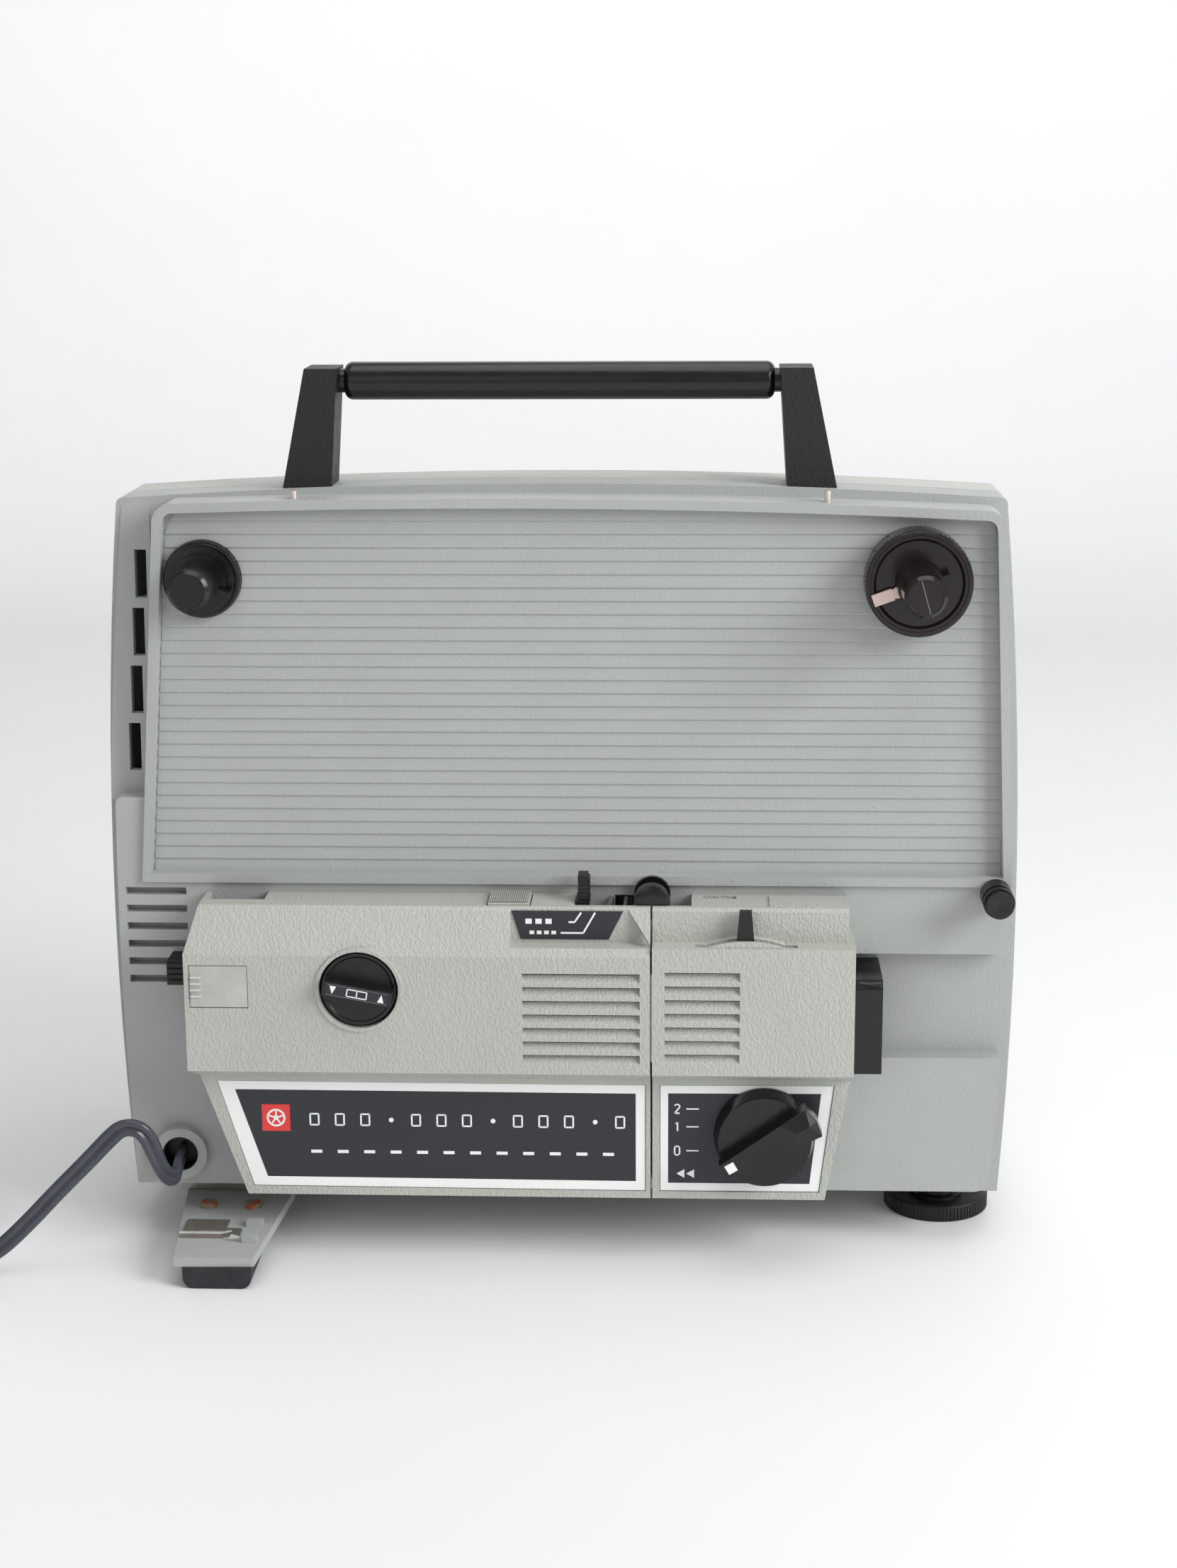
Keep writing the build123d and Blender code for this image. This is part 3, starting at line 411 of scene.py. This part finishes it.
FIELD_Y = -36.0
FIELD_LEFT = -125.4
FIELD_RIGHT = 134.7
FIELD_LOW = 120.3
PANEL_LOW = 117.5
PANEL_HIGH = 114.0
LEFT_LEAN = 8.1 / 110.0
CORNER_FROM = 225.5
CORNER_RADIUS = 5.0
END_MARGIN = 0.25
RIB_PITCH = 4.02
RIB_COUNT = 28
RIB_TOP = 232.3
RIB_STEP = 0.45
RIB_EDGE = 0.32


def panel_left(z):
    return FIELD_LEFT + (z - FIELD_LOW) * LEFT_LEAN + corner_drop(z)


def panel_right(z):
    """The right side leans a little and bows more towards the top."""
    share = (z - PANEL_LOW) / PANEL_HIGH
    return FIELD_RIGHT - 1.3 * share - 3.7 * share * share - corner_drop(z)


def corner_drop(z):
    """How far the rounded upper corners of the field draw its ends in."""
    above = min(CORNER_RADIUS - 0.1, z - CORNER_FROM)
    if above <= 0:
        return 0.0
    return CORNER_RADIUS - math.sqrt(CORNER_RADIUS ** 2 - above * above)


def build_ribs(form):
    """Each rib slopes outwards as it goes down, and ends in a small step."""
    for index in range(RIB_COUNT):
        top = RIB_TOP - RIB_PITCH * index
        low = top - RIB_PITCH + RIB_EDGE
        corners = ((top, FIELD_Y - 0.04), (low + 0.3, FIELD_Y - RIB_STEP), (low, FIELD_Y - RIB_STEP + 0.05),
                   (low - 0.02, FIELD_Y + 0.02), (top, FIELD_Y + 0.02))
        left = [form.verts.new((panel_left(z) + END_MARGIN, y, z)) for z, y in corners]
        right = [form.verts.new((panel_right(z) - END_MARGIN, y, z)) for z, y in corners]
        form.faces.new(left)
        form.faces.new(right[::-1])
        for start in range(len(corners)):
            after = (start + 1) % len(corners)
            form.faces.new((left[start], right[start], right[after], left[after]))


piece("panel_ribs", build_ribs, "casting", "chassis")

# ---------------------------------------------------------------------------
# Name plate, control plate and film label
# ---------------------------------------------------------------------------

PLATE_Y = -54.6
PRINT_Y = PLATE_Y - 0.05
PRINT_Y_OVER = PLATE_Y - 0.08

NAME_FRAME = [(-104.9, 58.3), (26.6, 58.1), (26.6, 23.8), (-94.6, 24.2)]
NAME_FIELD = [(-99.6, 55.6), (23.7, 55.4), (23.7, 26.8), (-90.4, 27.1)]
CONTROL_FRAME = [(31.2, 58.1), (84.0, 58.4), (79.8, 24.0), (31.2, 23.9)]
CONTROL_FIELD = [(33.6, 55.6), (80.2, 55.9), (77.0, 26.5), (33.6, 26.4)]


def border(outer, inner, y_front, y_back):
    """Builder for a printed frame between two outlines with the same corner count."""
    def build(form):
        rings = []
        for outline, y in ((outer, y_front), (inner, y_front), (inner, y_back), (outer, y_back)):
            rings.append([form.verts.new((x, y, z)) for x, z in outline])
        count = len(outer)
        for first, second in zip(rings, rings[1:] + rings[:1]):
            for index in range(count):
                after = (index + 1) % count
                form.faces.new((first[index], first[after], second[after], second[index]))
    return build


def flat(outlines, y_front, y_back):
    """Builder for one or more thin printed shapes."""
    def build(form):
        for outline in outlines:
            add_prism(form, outline, y_front, y_back)
    return build


def round_outline(x, z, radius, count=28, start=0.0):
    points = []
    for index in range(count):
        angle = math.radians(start) + 2 * math.pi * index / count
        points.append((x + radius * math.cos(angle), z + radius * math.sin(angle)))
    return points


def stroke(x0, z0, x1, z1, width):
    """A straight printed stroke between two points."""
    length = math.hypot(x1 - x0, z1 - z0)
    across = (-(z1 - z0) * width / 2 / length, (x1 - x0) * width / 2 / length)
    return [(x0 + across[0], z0 + across[1]), (x0 - across[0], z0 - across[1]),
            (x1 - across[0], z1 - across[1]), (x1 + across[0], z1 + across[1])]


def path_strokes(points, width):
    return [stroke(*first, *second, width) for first, second in zip(points, points[1:])]


piece("name_border", border(NAME_FRAME, NAME_FIELD, PRINT_Y, PLATE_Y + 0.02),
      "white_print", "lamp_cover")
piece("control_border", border(CONTROL_FRAME, CONTROL_FIELD, PRINT_Y, PLATE_Y + 0.02),
      "white_print", "chassis")

BADGE = (-87.2, 46.4)
BADGE_HALF = 4.35
REEL_OUT = 2.9
REEL_IN = 2.3
REEL_HUB = 0.8
REEL_SPOKES = 5


def build_badge(form):
    x, z = BADGE
    half = BADGE_HALF
    add_prism(form, [(x - half, z - half), (x + half, z - half), (x + half, z + half), (x - half, z + half)],
              PRINT_Y, PLATE_Y + 0.02)


def build_badge_reel(form):
    """Plain film reel pictogram: a ring, a hub and five spokes."""
    x, z = BADGE
    segments = 24
    for index in range(segments):
        first = 2 * math.pi * index / segments
        second = 2 * math.pi * (index + 1) / segments
        corners = []
        for radius, angle in ((REEL_OUT, first), (REEL_OUT, second), (REEL_IN, second), (REEL_IN, first)):
            corners.append((x + radius * math.cos(angle), z + radius * math.sin(angle)))
        add_prism(form, corners, PRINT_Y_OVER, PRINT_Y + 0.01)
    add_prism(form, round_outline(x, z, REEL_HUB, 16), PRINT_Y_OVER, PRINT_Y + 0.01)
    for index in range(REEL_SPOKES):
        angle = math.radians(90 + 360 / REEL_SPOKES * index)
        across, up = math.cos(angle), math.sin(angle)
        near, far = REEL_HUB - 0.1, REEL_IN + 0.1
        spoke = stroke(x + near * across, z + near * up, x + far * across, z + far * up, 0.5)
        add_prism(form, spoke, PRINT_Y_OVER, PRINT_Y + 0.01)


piece("badge", build_badge, "red_print", "lamp_cover")
piece("badge_reel", build_badge_reel, "white_print", "lamp_cover")


MARKS_LEFT = -76.6
FRAME_PITCH = 7.85
FRAME_WIDE = 2.6
FRAME_LOW = 44.2
FRAME_TOP = 47.8
DASH_PITCH = 8.2
DASH_LONG = 3.4
DASH_LOW = 35.0


def box_outline(x, z, wide, high):
    return [(x, z), (x + wide, z), (x + wide, z + high), (x, z + high)]


def name_marks():
    """A plain row of film frames and dots over a row of dashes, in place of any name."""
    marks = []
    for index in range(13):
        x = MARKS_LEFT + FRAME_PITCH * index
        if index % 4 == 3:
            marks.append(round_outline(x + 1.5, (FRAME_LOW + FRAME_TOP) / 2, 0.75, 14))
        else:
            right = x + FRAME_WIDE
            corners = [(x, FRAME_LOW), (x, FRAME_TOP), (right, FRAME_TOP), (right, FRAME_LOW), (x, FRAME_LOW)]
            marks += path_strokes(corners, 0.5)
    for index in range(12):
        marks.append(box_outline(MARKS_LEFT + DASH_PITCH * index, DASH_LOW, DASH_LONG, 1.0))
    return marks


piece("name_marks", flat(name_marks(), PRINT_Y, PLATE_Y + 0.02), "white_print", "lamp_cover")

DIGITS = {
    "2": [(0, 3.0), (0.5, 3.5), (1.4, 3.5), (1.9, 3.0), (1.9, 2.4), (0, 0), (1.9, 0)],
    "1": [(0.4, 2.9), (1.1, 3.5), (1.1, 0)],
    "0": [(0.4, 0), (0, 0.6), (0, 2.9), (0.4, 3.5), (1.4, 3.5), (1.9, 2.9), (1.9, 0.6), (1.4, 0), (0.4, 0)],
}


DIGIT_X = 35.6
DIGIT_SCALE = 0.8
DIGIT_LEVELS = {"2": 49.2, "1": 43.4, "0": 35.6}
ARROW_Z = 29.5


def control_marks():
    """Numbers with an index line each, and a double arrow at the backwards setting."""
    marks = []
    for digit, z in DIGIT_LEVELS.items():
        points = [(DIGIT_X + DIGIT_SCALE * x, z + DIGIT_SCALE * up) for x, up in DIGITS[digit]]
        marks += path_strokes(points, 0.45)
        marks.append(stroke(39.2, z + 1.4, 43.0, z + 1.4, 0.4))
    for tip in (36.2, 39.2):
        marks.append([(tip + 2.4, ARROW_Z - 1.4), (tip + 2.4, ARROW_Z + 1.4), (tip, ARROW_Z)])
    return marks


piece("control_marks", flat(control_marks(), PRINT_Y, PLATE_Y + 0.02),
      "white_print", "chassis")

LABEL_Y = -54.9


def label_marks():
    """Two film paths: a short bent strip over a longer one, with large and small frames beside them."""
    upper = [(3.6, 110.0), (5.4, 110.0), (7.4, 113.0)]
    lower = [(1.2, 106.6), (8.0, 106.6), (11.6, 113.0)]
    marks = path_strokes(upper, 0.55) + path_strokes(lower, 0.55)
    for index in range(3):
        marks.append(box_outline(-9.4 + 3.0 * index, 109.4, 1.9, 1.6))
    for index in range(4):
        marks.append(box_outline(-8.2 + 2.2 * index, 106.15, 1.4, 1.1))
    return marks


piece("label_marks", flat(label_marks(), LABEL_Y - 0.04, LABEL_Y + 0.02), "white_print", "lamp_cover")

# ---------------------------------------------------------------------------
# Framer dial: raised rim, grip bar and its label
# ---------------------------------------------------------------------------

FRAMER = (-59.5, 90.4)
FRAMER_TILT = math.radians(-10.5)
BAR_FACE = -66.4
BAR_HALF_LONG = 9.4
BAR_HALF_HIGH = 1.75


def tilted(points, center, angle):
    turned = []
    for x, z in points:
        turned.append((center[0] + x * math.cos(angle) - z * math.sin(angle),
                       center[1] + x * math.sin(angle) + z * math.cos(angle)))
    return turned


def build_dial_ring(form):
    profile = [(11.2, -61.38), (11.2, -61.75), (10.4, -61.75), (9.9, -61.42), (9.9, -61.38)]
    add_lathe(form, FRAMER, profile, 72)


def build_dial_label(form):
    label = box_outline(-BAR_HALF_LONG, -BAR_HALF_HIGH, 2 * BAR_HALF_LONG, 2 * BAR_HALF_HIGH)
    add_prism(form, tilted(label, FRAMER, FRAMER_TILT), BAR_FACE - 0.05, BAR_FACE + 0.02)


def build_dial_border(form):
    for low in (1.6, -1.72):
        line = box_outline(-BAR_HALF_LONG, low, 2 * BAR_HALF_LONG, 0.12)
        add_prism(form, tilted(line, FRAMER, FRAMER_TILT), BAR_FACE - 0.07, BAR_FACE - 0.04)


def build_dial_marks(form):
    """A triangle at each end and two film frames between them."""
    shapes = [[(-8.4, 1.25), (-6.4, 1.25), (-7.4, -1.25)], [(6.4, -1.25), (8.4, -1.25), (7.4, 1.25)]]
    shapes += path_strokes([(-3.0, -1.1), (3.0, -1.1), (3.0, 1.1), (-3.0, 1.1), (-3.0, -1.1)], 0.34)
    shapes.append([(-0.17, -1.1), (0.17, -1.1), (0.17, 1.1), (-0.17, 1.1)])
    for shape in shapes:
        add_prism(form, tilted(shape, FRAMER, FRAMER_TILT), BAR_FACE - 0.08, BAR_FACE - 0.04)


piece("dial_ring", build_dial_ring, "black", "framer_dial")
piece("dial_label", build_dial_label, "plate", "framer_dial")
piece("dial_border", build_dial_border, "print_and_seam_highlight", "framer_dial")
piece("dial_marks", build_dial_marks, "white_print", "framer_dial")

# ---------------------------------------------------------------------------
# Control knob: white index, engraved line and facets
# ---------------------------------------------------------------------------

KNOB = (63.0, 42.5)
KNOB_TURN = math.radians(31)
KNOB_FACE = -67.0

INDEX_SQUARE = tilted(box_outline(-13.4, -1.5, 3.0, 3.0), KNOB, KNOB_TURN)

piece("knob_index", flat([INDEX_SQUARE], KNOB_FACE - 0.06, KNOB_FACE + 0.02),
      "white_print", "control_knob")


def build_knob_lines(form):
    for outline in path_strokes([(-9.0, 2.4), (6.0, 3.6), (6.0, -3.6), (-9.0, -2.4)], 0.25):
        add_prism(form, tilted(outline, KNOB, KNOB_TURN), KNOB_FACE - 0.05, KNOB_FACE + 0.02)


def build_knob_peak(form):
    """Faceted cap on the wide end of the pointer bar."""
    base = tilted([(8.0, 4.2), (8.0, -4.2), (16.8, -4.9), (17.9, 0.0), (16.8, 4.9)], KNOB, KNOB_TURN)
    ring = [form.verts.new((x, KNOB_FACE + 0.02, z)) for x, z in base]
    crest = tilted([(10.5, 0.0), (15.5, 0.0)], KNOB, KNOB_TURN)
    ridge = [form.verts.new((x, KNOB_FACE - 1.3, z)) for x, z in crest]
    form.faces.new((ring[0], ring[1], ridge[0]))
    form.faces.new((ring[1], ring[2], ridge[1], ridge[0]))
    form.faces.new((ring[2], ring[3], ridge[1]))
    form.faces.new((ring[3], ring[4], ridge[1]))
    form.faces.new((ring[4], ring[0], ridge[0], ridge[1]))
    form.faces.new(ring[::-1])


piece("knob_lines", build_knob_lines, "soft_black", "control_knob")
piece("knob_peak", build_knob_peak, "black", "control_knob")


def build_knob_rim(form):
    add_lathe(form, KNOB, [(15.3, -55.4), (15.35, -56.0), (15.1, -56.4), (14.8, -56.2), (14.8, -55.4)], 96)


piece("knob_rim", build_knob_rim, "black", "control_knob")

# ---------------------------------------------------------------------------
# Spindles: knurled rims, mould lines; roller, foot and gland details
# ---------------------------------------------------------------------------

TAKE_UP = (-106.5, 211.2)
SUPPLY = (106.9, 211.3)


def knurl(count, depth):
    """Ridge function for add_lathe: every other point of the ring stands proud."""
    def scale(index, radius):
        return 1.0 + (depth / radius if index % 2 else 0.0)
    return count * 2, scale


def build_supply_rim(form):
    count, ridge = knurl(72, 0.22)
    profile = [(15.7, -36.6), (15.75, -37.4), (15.75, -44.4), (15.3, -45.2), (15.0, -45.2)]
    add_lathe(form, SUPPLY, profile, count, ridge)


def build_supply_lip(form):
    add_lathe(form, SUPPLY, [(15.75, -44.9), (15.75, -45.8), (15.35, -46.15), (14.4, -46.15), (13.8, -45.6),
                             (13.8, -44.9)], 96)


def build_take_up_lip(form):
    add_lathe(form, TAKE_UP, [(11.55, -37.2), (11.75, -38.2), (11.5, -39.5), (10.9, -40.15), (10.1, -40.05),
                              (9.9, -39.4)], 96)


SEAM_ANGLE = math.radians(-74)


def build_supply_seam(form):
    """Mould line across the nose and, on both sides of it, along the dish, in mid grey: painted highlight
    along the thin ridge.
    """
    across, up = math.cos(SEAM_ANGLE), math.sin(SEAM_ANGLE)
    for inner, outer, y in ((-5.0, 5.0, -70.0), (7.6, 13.0, -42.5), (-7.6, -13.0, -42.5)):
        start = (SUPPLY[0] + inner * across, SUPPLY[1] + inner * up)
        end = (SUPPLY[0] + outer * across, SUPPLY[1] + outer * up)
        add_prism(form, stroke(*start, *end, 0.2), y - 0.06, y + 0.05)


piece("supply_rim", build_supply_rim, "dish", "supply_spindle")
smooth(piece("supply_lip", build_supply_lip, "dish", "supply_spindle"))
smooth(piece("take_up_lip", build_take_up_lip, "black", "take_up_spindle"))
piece("supply_seam", build_supply_seam, "print_and_seam_highlight", "supply_spindle")


def nose_ring(center, y_tip):
    """Builder for the fine raised ring on the flat end of a spindle's nose."""
    def build(form):
        profile = [(5.25, y_tip + 0.02), (5.2, y_tip - 0.12), (4.95, y_tip - 0.12), (4.85, y_tip + 0.02)]
        add_lathe(form, center, profile, 64)
    return build


smooth(piece("take_up_nose", nose_ring(TAKE_UP, -61.0), "black", "take_up_spindle"))
smooth(piece("supply_nose", nose_ring(SUPPLY, -70.0), "dish", "supply_spindle"))

FOOT = (120.5, -4.6)
FOOT_R = 16.4
FLUTES = 84
FLUTE_DEEP = 0.32


def build_foot_knurl(form):
    """Ring of upright flutes around the levelling foot."""
    half = 0.58 * math.pi / FLUTES
    crest = FOOT_R + FLUTE_DEEP
    for index in range(FLUTES):
        angle = 2 * math.pi * index / FLUTES
        outline = []
        for radius, turn in ((FOOT_R, -half), (crest, -half * 0.55), (crest, half * 0.55), (FOOT_R, half)):
            x = FOOT[0] + radius * math.cos(angle + turn)
            y = FOOT[1] + radius * math.sin(angle + turn)
            outline.append((x, y))
        low = [form.verts.new((x, y, 0.25)) for x, y in outline]
        top = [form.verts.new((x, y, 4.55)) for x, y in outline]
        form.faces.new(low)
        form.faces.new(top[::-1])
        for start in range(4):
            after = (start + 1) % 4
            form.faces.new((low[start], low[after], top[after], top[start]))


piece("foot_knurl", build_foot_knurl, "soft_black", "level_foot")

GUIDE = (132.6, 115.6)
ROLLER = (28.5, 115.3)


def build_guide_cap(form):
    add_lathe(form, GUIDE, [(4.1, -53.5), (4.25, -53.75), (4.1, -53.95), (1.3, -53.95), (0.9, -53.8)], 64)


def build_roller_cap(form):
    add_lathe(form, ROLLER, [(5.4, -50.1), (5.5, -50.6), (5.2, -51.9), (4.4, -52.3), (1.2, -52.3)], 64)


smooth(piece("guide_cap", build_guide_cap, "soft_black", "chassis"))
smooth(piece("roller_cap", build_roller_cap, "black", "film_roller"))

GLAND = (-120.1, 29.2)


def build_gland_hollow(form):
    add_lathe(form, GLAND, [(5.55, -36.05), (5.55, -42.3), (5.35, -42.3), (5.3, -36.3), (0.1, -36.2)], 64)


smooth(piece("gland_hollow", build_gland_hollow, "soft_black", "chassis"))

# ---------------------------------------------------------------------------
# Folding front foot: painted highlights as bright strips on the lit edges of its spring strip
# ---------------------------------------------------------------------------


def build_arm_strip(form):
    """Painted highlight: bright strips on the upper edge of the plate's lip and on the bent tongue at its
    right.
    """
    add_box(form, -116.9, -103.5, -63.68, -62.92, 11.6, 12.28)
    add_prism(form, [(-103.6, 12.2), (-100.9, 12.75), (-100.6, 12.35), (-103.6, 11.6)], -63.6, -63.0)
    add_prism(form, [(-101.6, 11.0), (-97.9, 11.2), (-97.9, 11.7), (-100.4, 12.4)], -65.9, -65.4)


piece("arm_strip", build_arm_strip, "edge_highlight_metal", "stabiliser")

# ---------------------------------------------------------------------------
# Release button ridges, hatch ridges and format lever ribs
# ---------------------------------------------------------------------------


BUTTON_LEFT = -20.5
BUTTON_PITCH = 0.62


def build_button_ridges(form):
    for index in range(20):
        x = BUTTON_LEFT + BUTTON_PITCH * index
        add_box(form, x, x + 0.28, -52.3, -41.2, 115.55, 115.85)


piece("button_ridges", build_button_ridges, "smooth_grey", "release_button")


# The ridges are a lighter grey than the hatch around them: painted highlight on the raised ridges.
def build_hatch_ridges(form):
    for index in range(4):
        z = 88.0 + index * 2.0
        add_box(form, -110.5, -107.3, -62.62, -62.45, z - 0.28, z + 0.28)


piece("hatch_ridges", build_hatch_ridges, "lit_ridge_grey", "side_hatch")


def build_lever_ribs(form):
    for index in range(6):
        z = 115.9 + index * 1.15
        add_box(form, 9.1, 9.75, -49.6, -44.2, z, z + 0.5)
        add_box(form, 6.4, 9.0, -49.75, -49.45, z, z + 0.5)


piece("lever_ribs", build_lever_ribs, "soft_black", "format_lever")

# ---------------------------------------------------------------------------
# Inside: sprocket teeth, core laminations and windings
# ---------------------------------------------------------------------------


SPROCKET = (-30.0, 100.0)
SPROCKET_R = 7.9
SPROCKET_TEETH = 12


def build_sprocket_teeth(form):
    """Two rings of small teeth, one at each edge of the film."""
    for y in (-48.2, -43.9):
        for x, z in round_outline(*SPROCKET, SPROCKET_R, SPROCKET_TEETH):
            add_prism(form, round_outline(x, z, 0.45, 8), y - 0.3, y + 0.3)


piece("sprocket_teeth", build_sprocket_teeth, "nylon", "film_sprocket")


def build_core_laminations(form):
    for index in range(12):
        y = 13.5 + 4.2 * index
        add_box(form, 34.85, 95.15, y, y + 0.4, 60.0, 66.15)


piece("core_laminations", build_core_laminations, "iron", "chassis")


def build_winding_rings(form):
    for index in range(14):
        z = 29.5 + 1.85 * index
        add_box(form, 47.75, 82.25, 6.75, 67.25, z, z + 0.9)


piece("winding_rings", build_winding_rings, "copper", "chassis")

# ---------------------------------------------------------------------------
# Camera
# ---------------------------------------------------------------------------

CAMERA_AT = (43.5, -795.3, 334.4)
CAMERA_TURN = (76.230, 0.3410, 2.5187)
LENS = 59.08

camera = bpy.data.objects.new("camera", bpy.data.cameras.new("camera"))
camera.data.lens = LENS
camera.data.sensor_width = 36.0
camera.location = Vector(CAMERA_AT) * MM
camera.rotation_euler = [math.radians(turn) for turn in CAMERA_TURN]
camera.data.clip_start = 0.05
camera.data.clip_end = 50.0
bpy.context.scene.collection.objects.link(camera)
bpy.context.scene.camera = camera

# ---------------------------------------------------------------------------
# Mains lead: its visible run, then the put-away length in a coil, then the plug
# ---------------------------------------------------------------------------

CORD_THICK = 2.8
CORD_ROUTE = [
    (-120.1, -36.0, 28.2),
    (-120.1, -45.0, 28.2),
    (-119.8, -50.5, 25.2),
    (-121.2, -55.6, 26.4),
    (-122.8, -59.0, 31.4),
    (-124.0, -60.8, 36.5),
    (-125.4, -61.6, 41.5),
    (-128.2, -62.3, 45.4),
    (-133.2, -62.9, 46.0),
    (-137.2, -63.4, 42.6),
    (-144.0, -64.4, 35.4),
    (-153.6, -66.2, 26.0),
    (-164.0, -67.9, 15.0),
    (-173.6, -69.6, 6.4),
    (-184.0, -71.2, 2.8),
    (-198.0, -73.4, 2.8),
    (-212.0, -72.6, 2.8),
]
COIL_AT = (-224.0, -42.0)
COIL_RADII = (36.4, 31.0, 25.6)
COIL_LEVELS = (1.5, 4.5, 7.5)
TURN_POINTS = 16
COIL_TURNS = 8
FLAT_FROM = -196.0
FLAT_OVER = 20.0


def coil_points():
    """Turns side by side in flat layers, wound inwards and outwards in turn."""
    points = []
    start = math.atan2(-72.6 - COIL_AT[1], -212.0 - COIL_AT[0])
    for turn in range(COIL_TURNS):
        layer, place = divmod(turn, len(COIL_RADII))
        radius = COIL_RADII[place if layer % 2 == 0 else -1 - place]
        for index in range(TURN_POINTS):
            angle = start - 2 * math.pi * (turn + (index + 1.5) / TURN_POINTS)
            points.append((COIL_AT[0] + radius * math.cos(angle), COIL_AT[1] + radius * math.sin(angle),
                           COIL_LEVELS[layer]))
    return points


TAIL = [
    (-250.0, -62.0, 10.0),
    (-257.5, -47.0, 14.6),
    (-260.2, -31.0, 18.6),
    (-259.0, -18.0, 19.0),
    (-256.0, -11.8, 18.6),
    (-252.0, -11.0, 18.6),
]


def lead_section():
    """Flat twin lead in section: two round cores side by side with a groove between."""
    data = bpy.data.curves.new("lead_section", "CURVE")
    data.dimensions = "2D"
    spline = data.splines.new("POLY")
    points = []
    core = CORD_THICK / 2
    for side in (1, -1):
        for index in range(11):
            angle = math.radians(-160 + 32 * index)
            points.append((side * (core + core * math.cos(angle)), side * core * math.sin(angle)))
    spline.points.add(len(points) - 1)
    for place, (across, up) in zip(spline.points, points):
        place.co = (across * MM, up * MM, 0.0, 1.0)
    spline.use_cyclic_u = True
    return bpy.data.objects.new("lead_section", data)


def make_cord():
    """The lead hangs with its wide face to the front and lies flat on the floor."""
    points = CORD_ROUTE[:-1] + coil_points() + TAIL
    data = bpy.data.curves.new("mains_lead", "CURVE")
    data.dimensions = "3D"
    data.twist_mode = "Z_UP"
    spline = data.splines.new("NURBS")
    spline.points.add(len(points) - 1)
    for index, (place, point) in enumerate(zip(spline.points, points)):
        place.co = (*(Vector(point) * MM), 1.0)
        if index < len(CORD_ROUTE) - 1:
            upright = min(1.0, max(0.0, (point[0] - FLAT_FROM) / FLAT_OVER))
            place.tilt = math.radians(90 * upright)
    spline.order_u = 3
    spline.use_endpoint_u = True
    spline.resolution_u = 6
    data.bevel_mode = "OBJECT"
    data.bevel_object = lead_section()
    data.use_fill_caps = True
    lead = bpy.data.objects.new("mains_lead", data)
    bpy.context.scene.collection.objects.link(lead)
    data.materials.append(LOOKS["vinyl"])
    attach(lead, "chassis")
    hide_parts("mains_cord", "cord_coil")
    return lead


lead = make_cord()

# ---------------------------------------------------------------------------
# Floor, backdrop and lights
# ---------------------------------------------------------------------------


def flat_look(name, colour, rough=0.7):
    look = Look(name)
    mottled(look, colour, 1.01, 0.99, 3.0)
    look.set(Roughness=rough)
    return look.material


def make_sweep():
    """Pale floor that curves up into a wall well behind the projector."""
    form = bmesh.new()
    profile = [(-4.0, 0.0), (1.6, 0.0)]
    for step in range(1, 9):
        angle = math.radians(90 * step / 8)
        profile.append((1.6 + 0.8 * math.sin(angle), 0.8 - 0.8 * math.cos(angle)))
    profile.append((2.4, 4.0))
    left = [form.verts.new((-5.0, y, z)) for y, z in profile]
    right = [form.verts.new((5.0, y, z)) for y, z in profile]
    for index in range(len(profile) - 1):
        form.faces.new((left[index], right[index], right[index + 1], left[index + 1]))
    mesh = bpy.data.meshes.new("sweep")
    form.to_mesh(mesh)
    form.free()
    mesh.shade_smooth()
    item = bpy.data.objects.new("sweep", mesh)
    item.data.materials.append(flat_look("pale_paper_sweep", tone(240, 241, 243)))
    bpy.context.scene.collection.objects.link(item)


def area_light(name, at, aim, size, power, colour=(1, 1, 1)):
    data = bpy.data.lights.new(name, "AREA")
    data.shape = "RECTANGLE"
    data.size, data.size_y = size
    data.energy = power
    data.color = colour
    light = bpy.data.objects.new(name, data)
    light.location = at
    light.rotation_euler = (Vector(aim) - Vector(at)).to_track_quat("-Z", "Y").to_euler()
    bpy.context.scene.collection.objects.link(light)


make_sweep()
area_light("window", (1.45, -0.85, 0.95), (0, 0, 0.12), (0.9, 0.9), 25)
area_light("overhead", (0.2, -0.1, 1.6), (0, 0, 0.1), (1.4, 1.2), 9.5)
area_light("fill", (-0.6, -1.8, 0.8), (0, 0, 0.1), (1.0, 1.0), 2)
area_light("backdrop", (0.0, 1.0, 1.7), (0.0, 2.4, 1.7), (3.6, 1.0), 31)

world = bpy.data.worlds.new("studio")
bpy.context.scene.world = world
world.use_nodes = True
world.node_tree.nodes["Background"].inputs["Color"].default_value = tone(248, 247, 243)
world.node_tree.nodes["Background"].inputs["Strength"].default_value = 0.4
bpy.context.scene.view_settings.view_transform = "Standard"
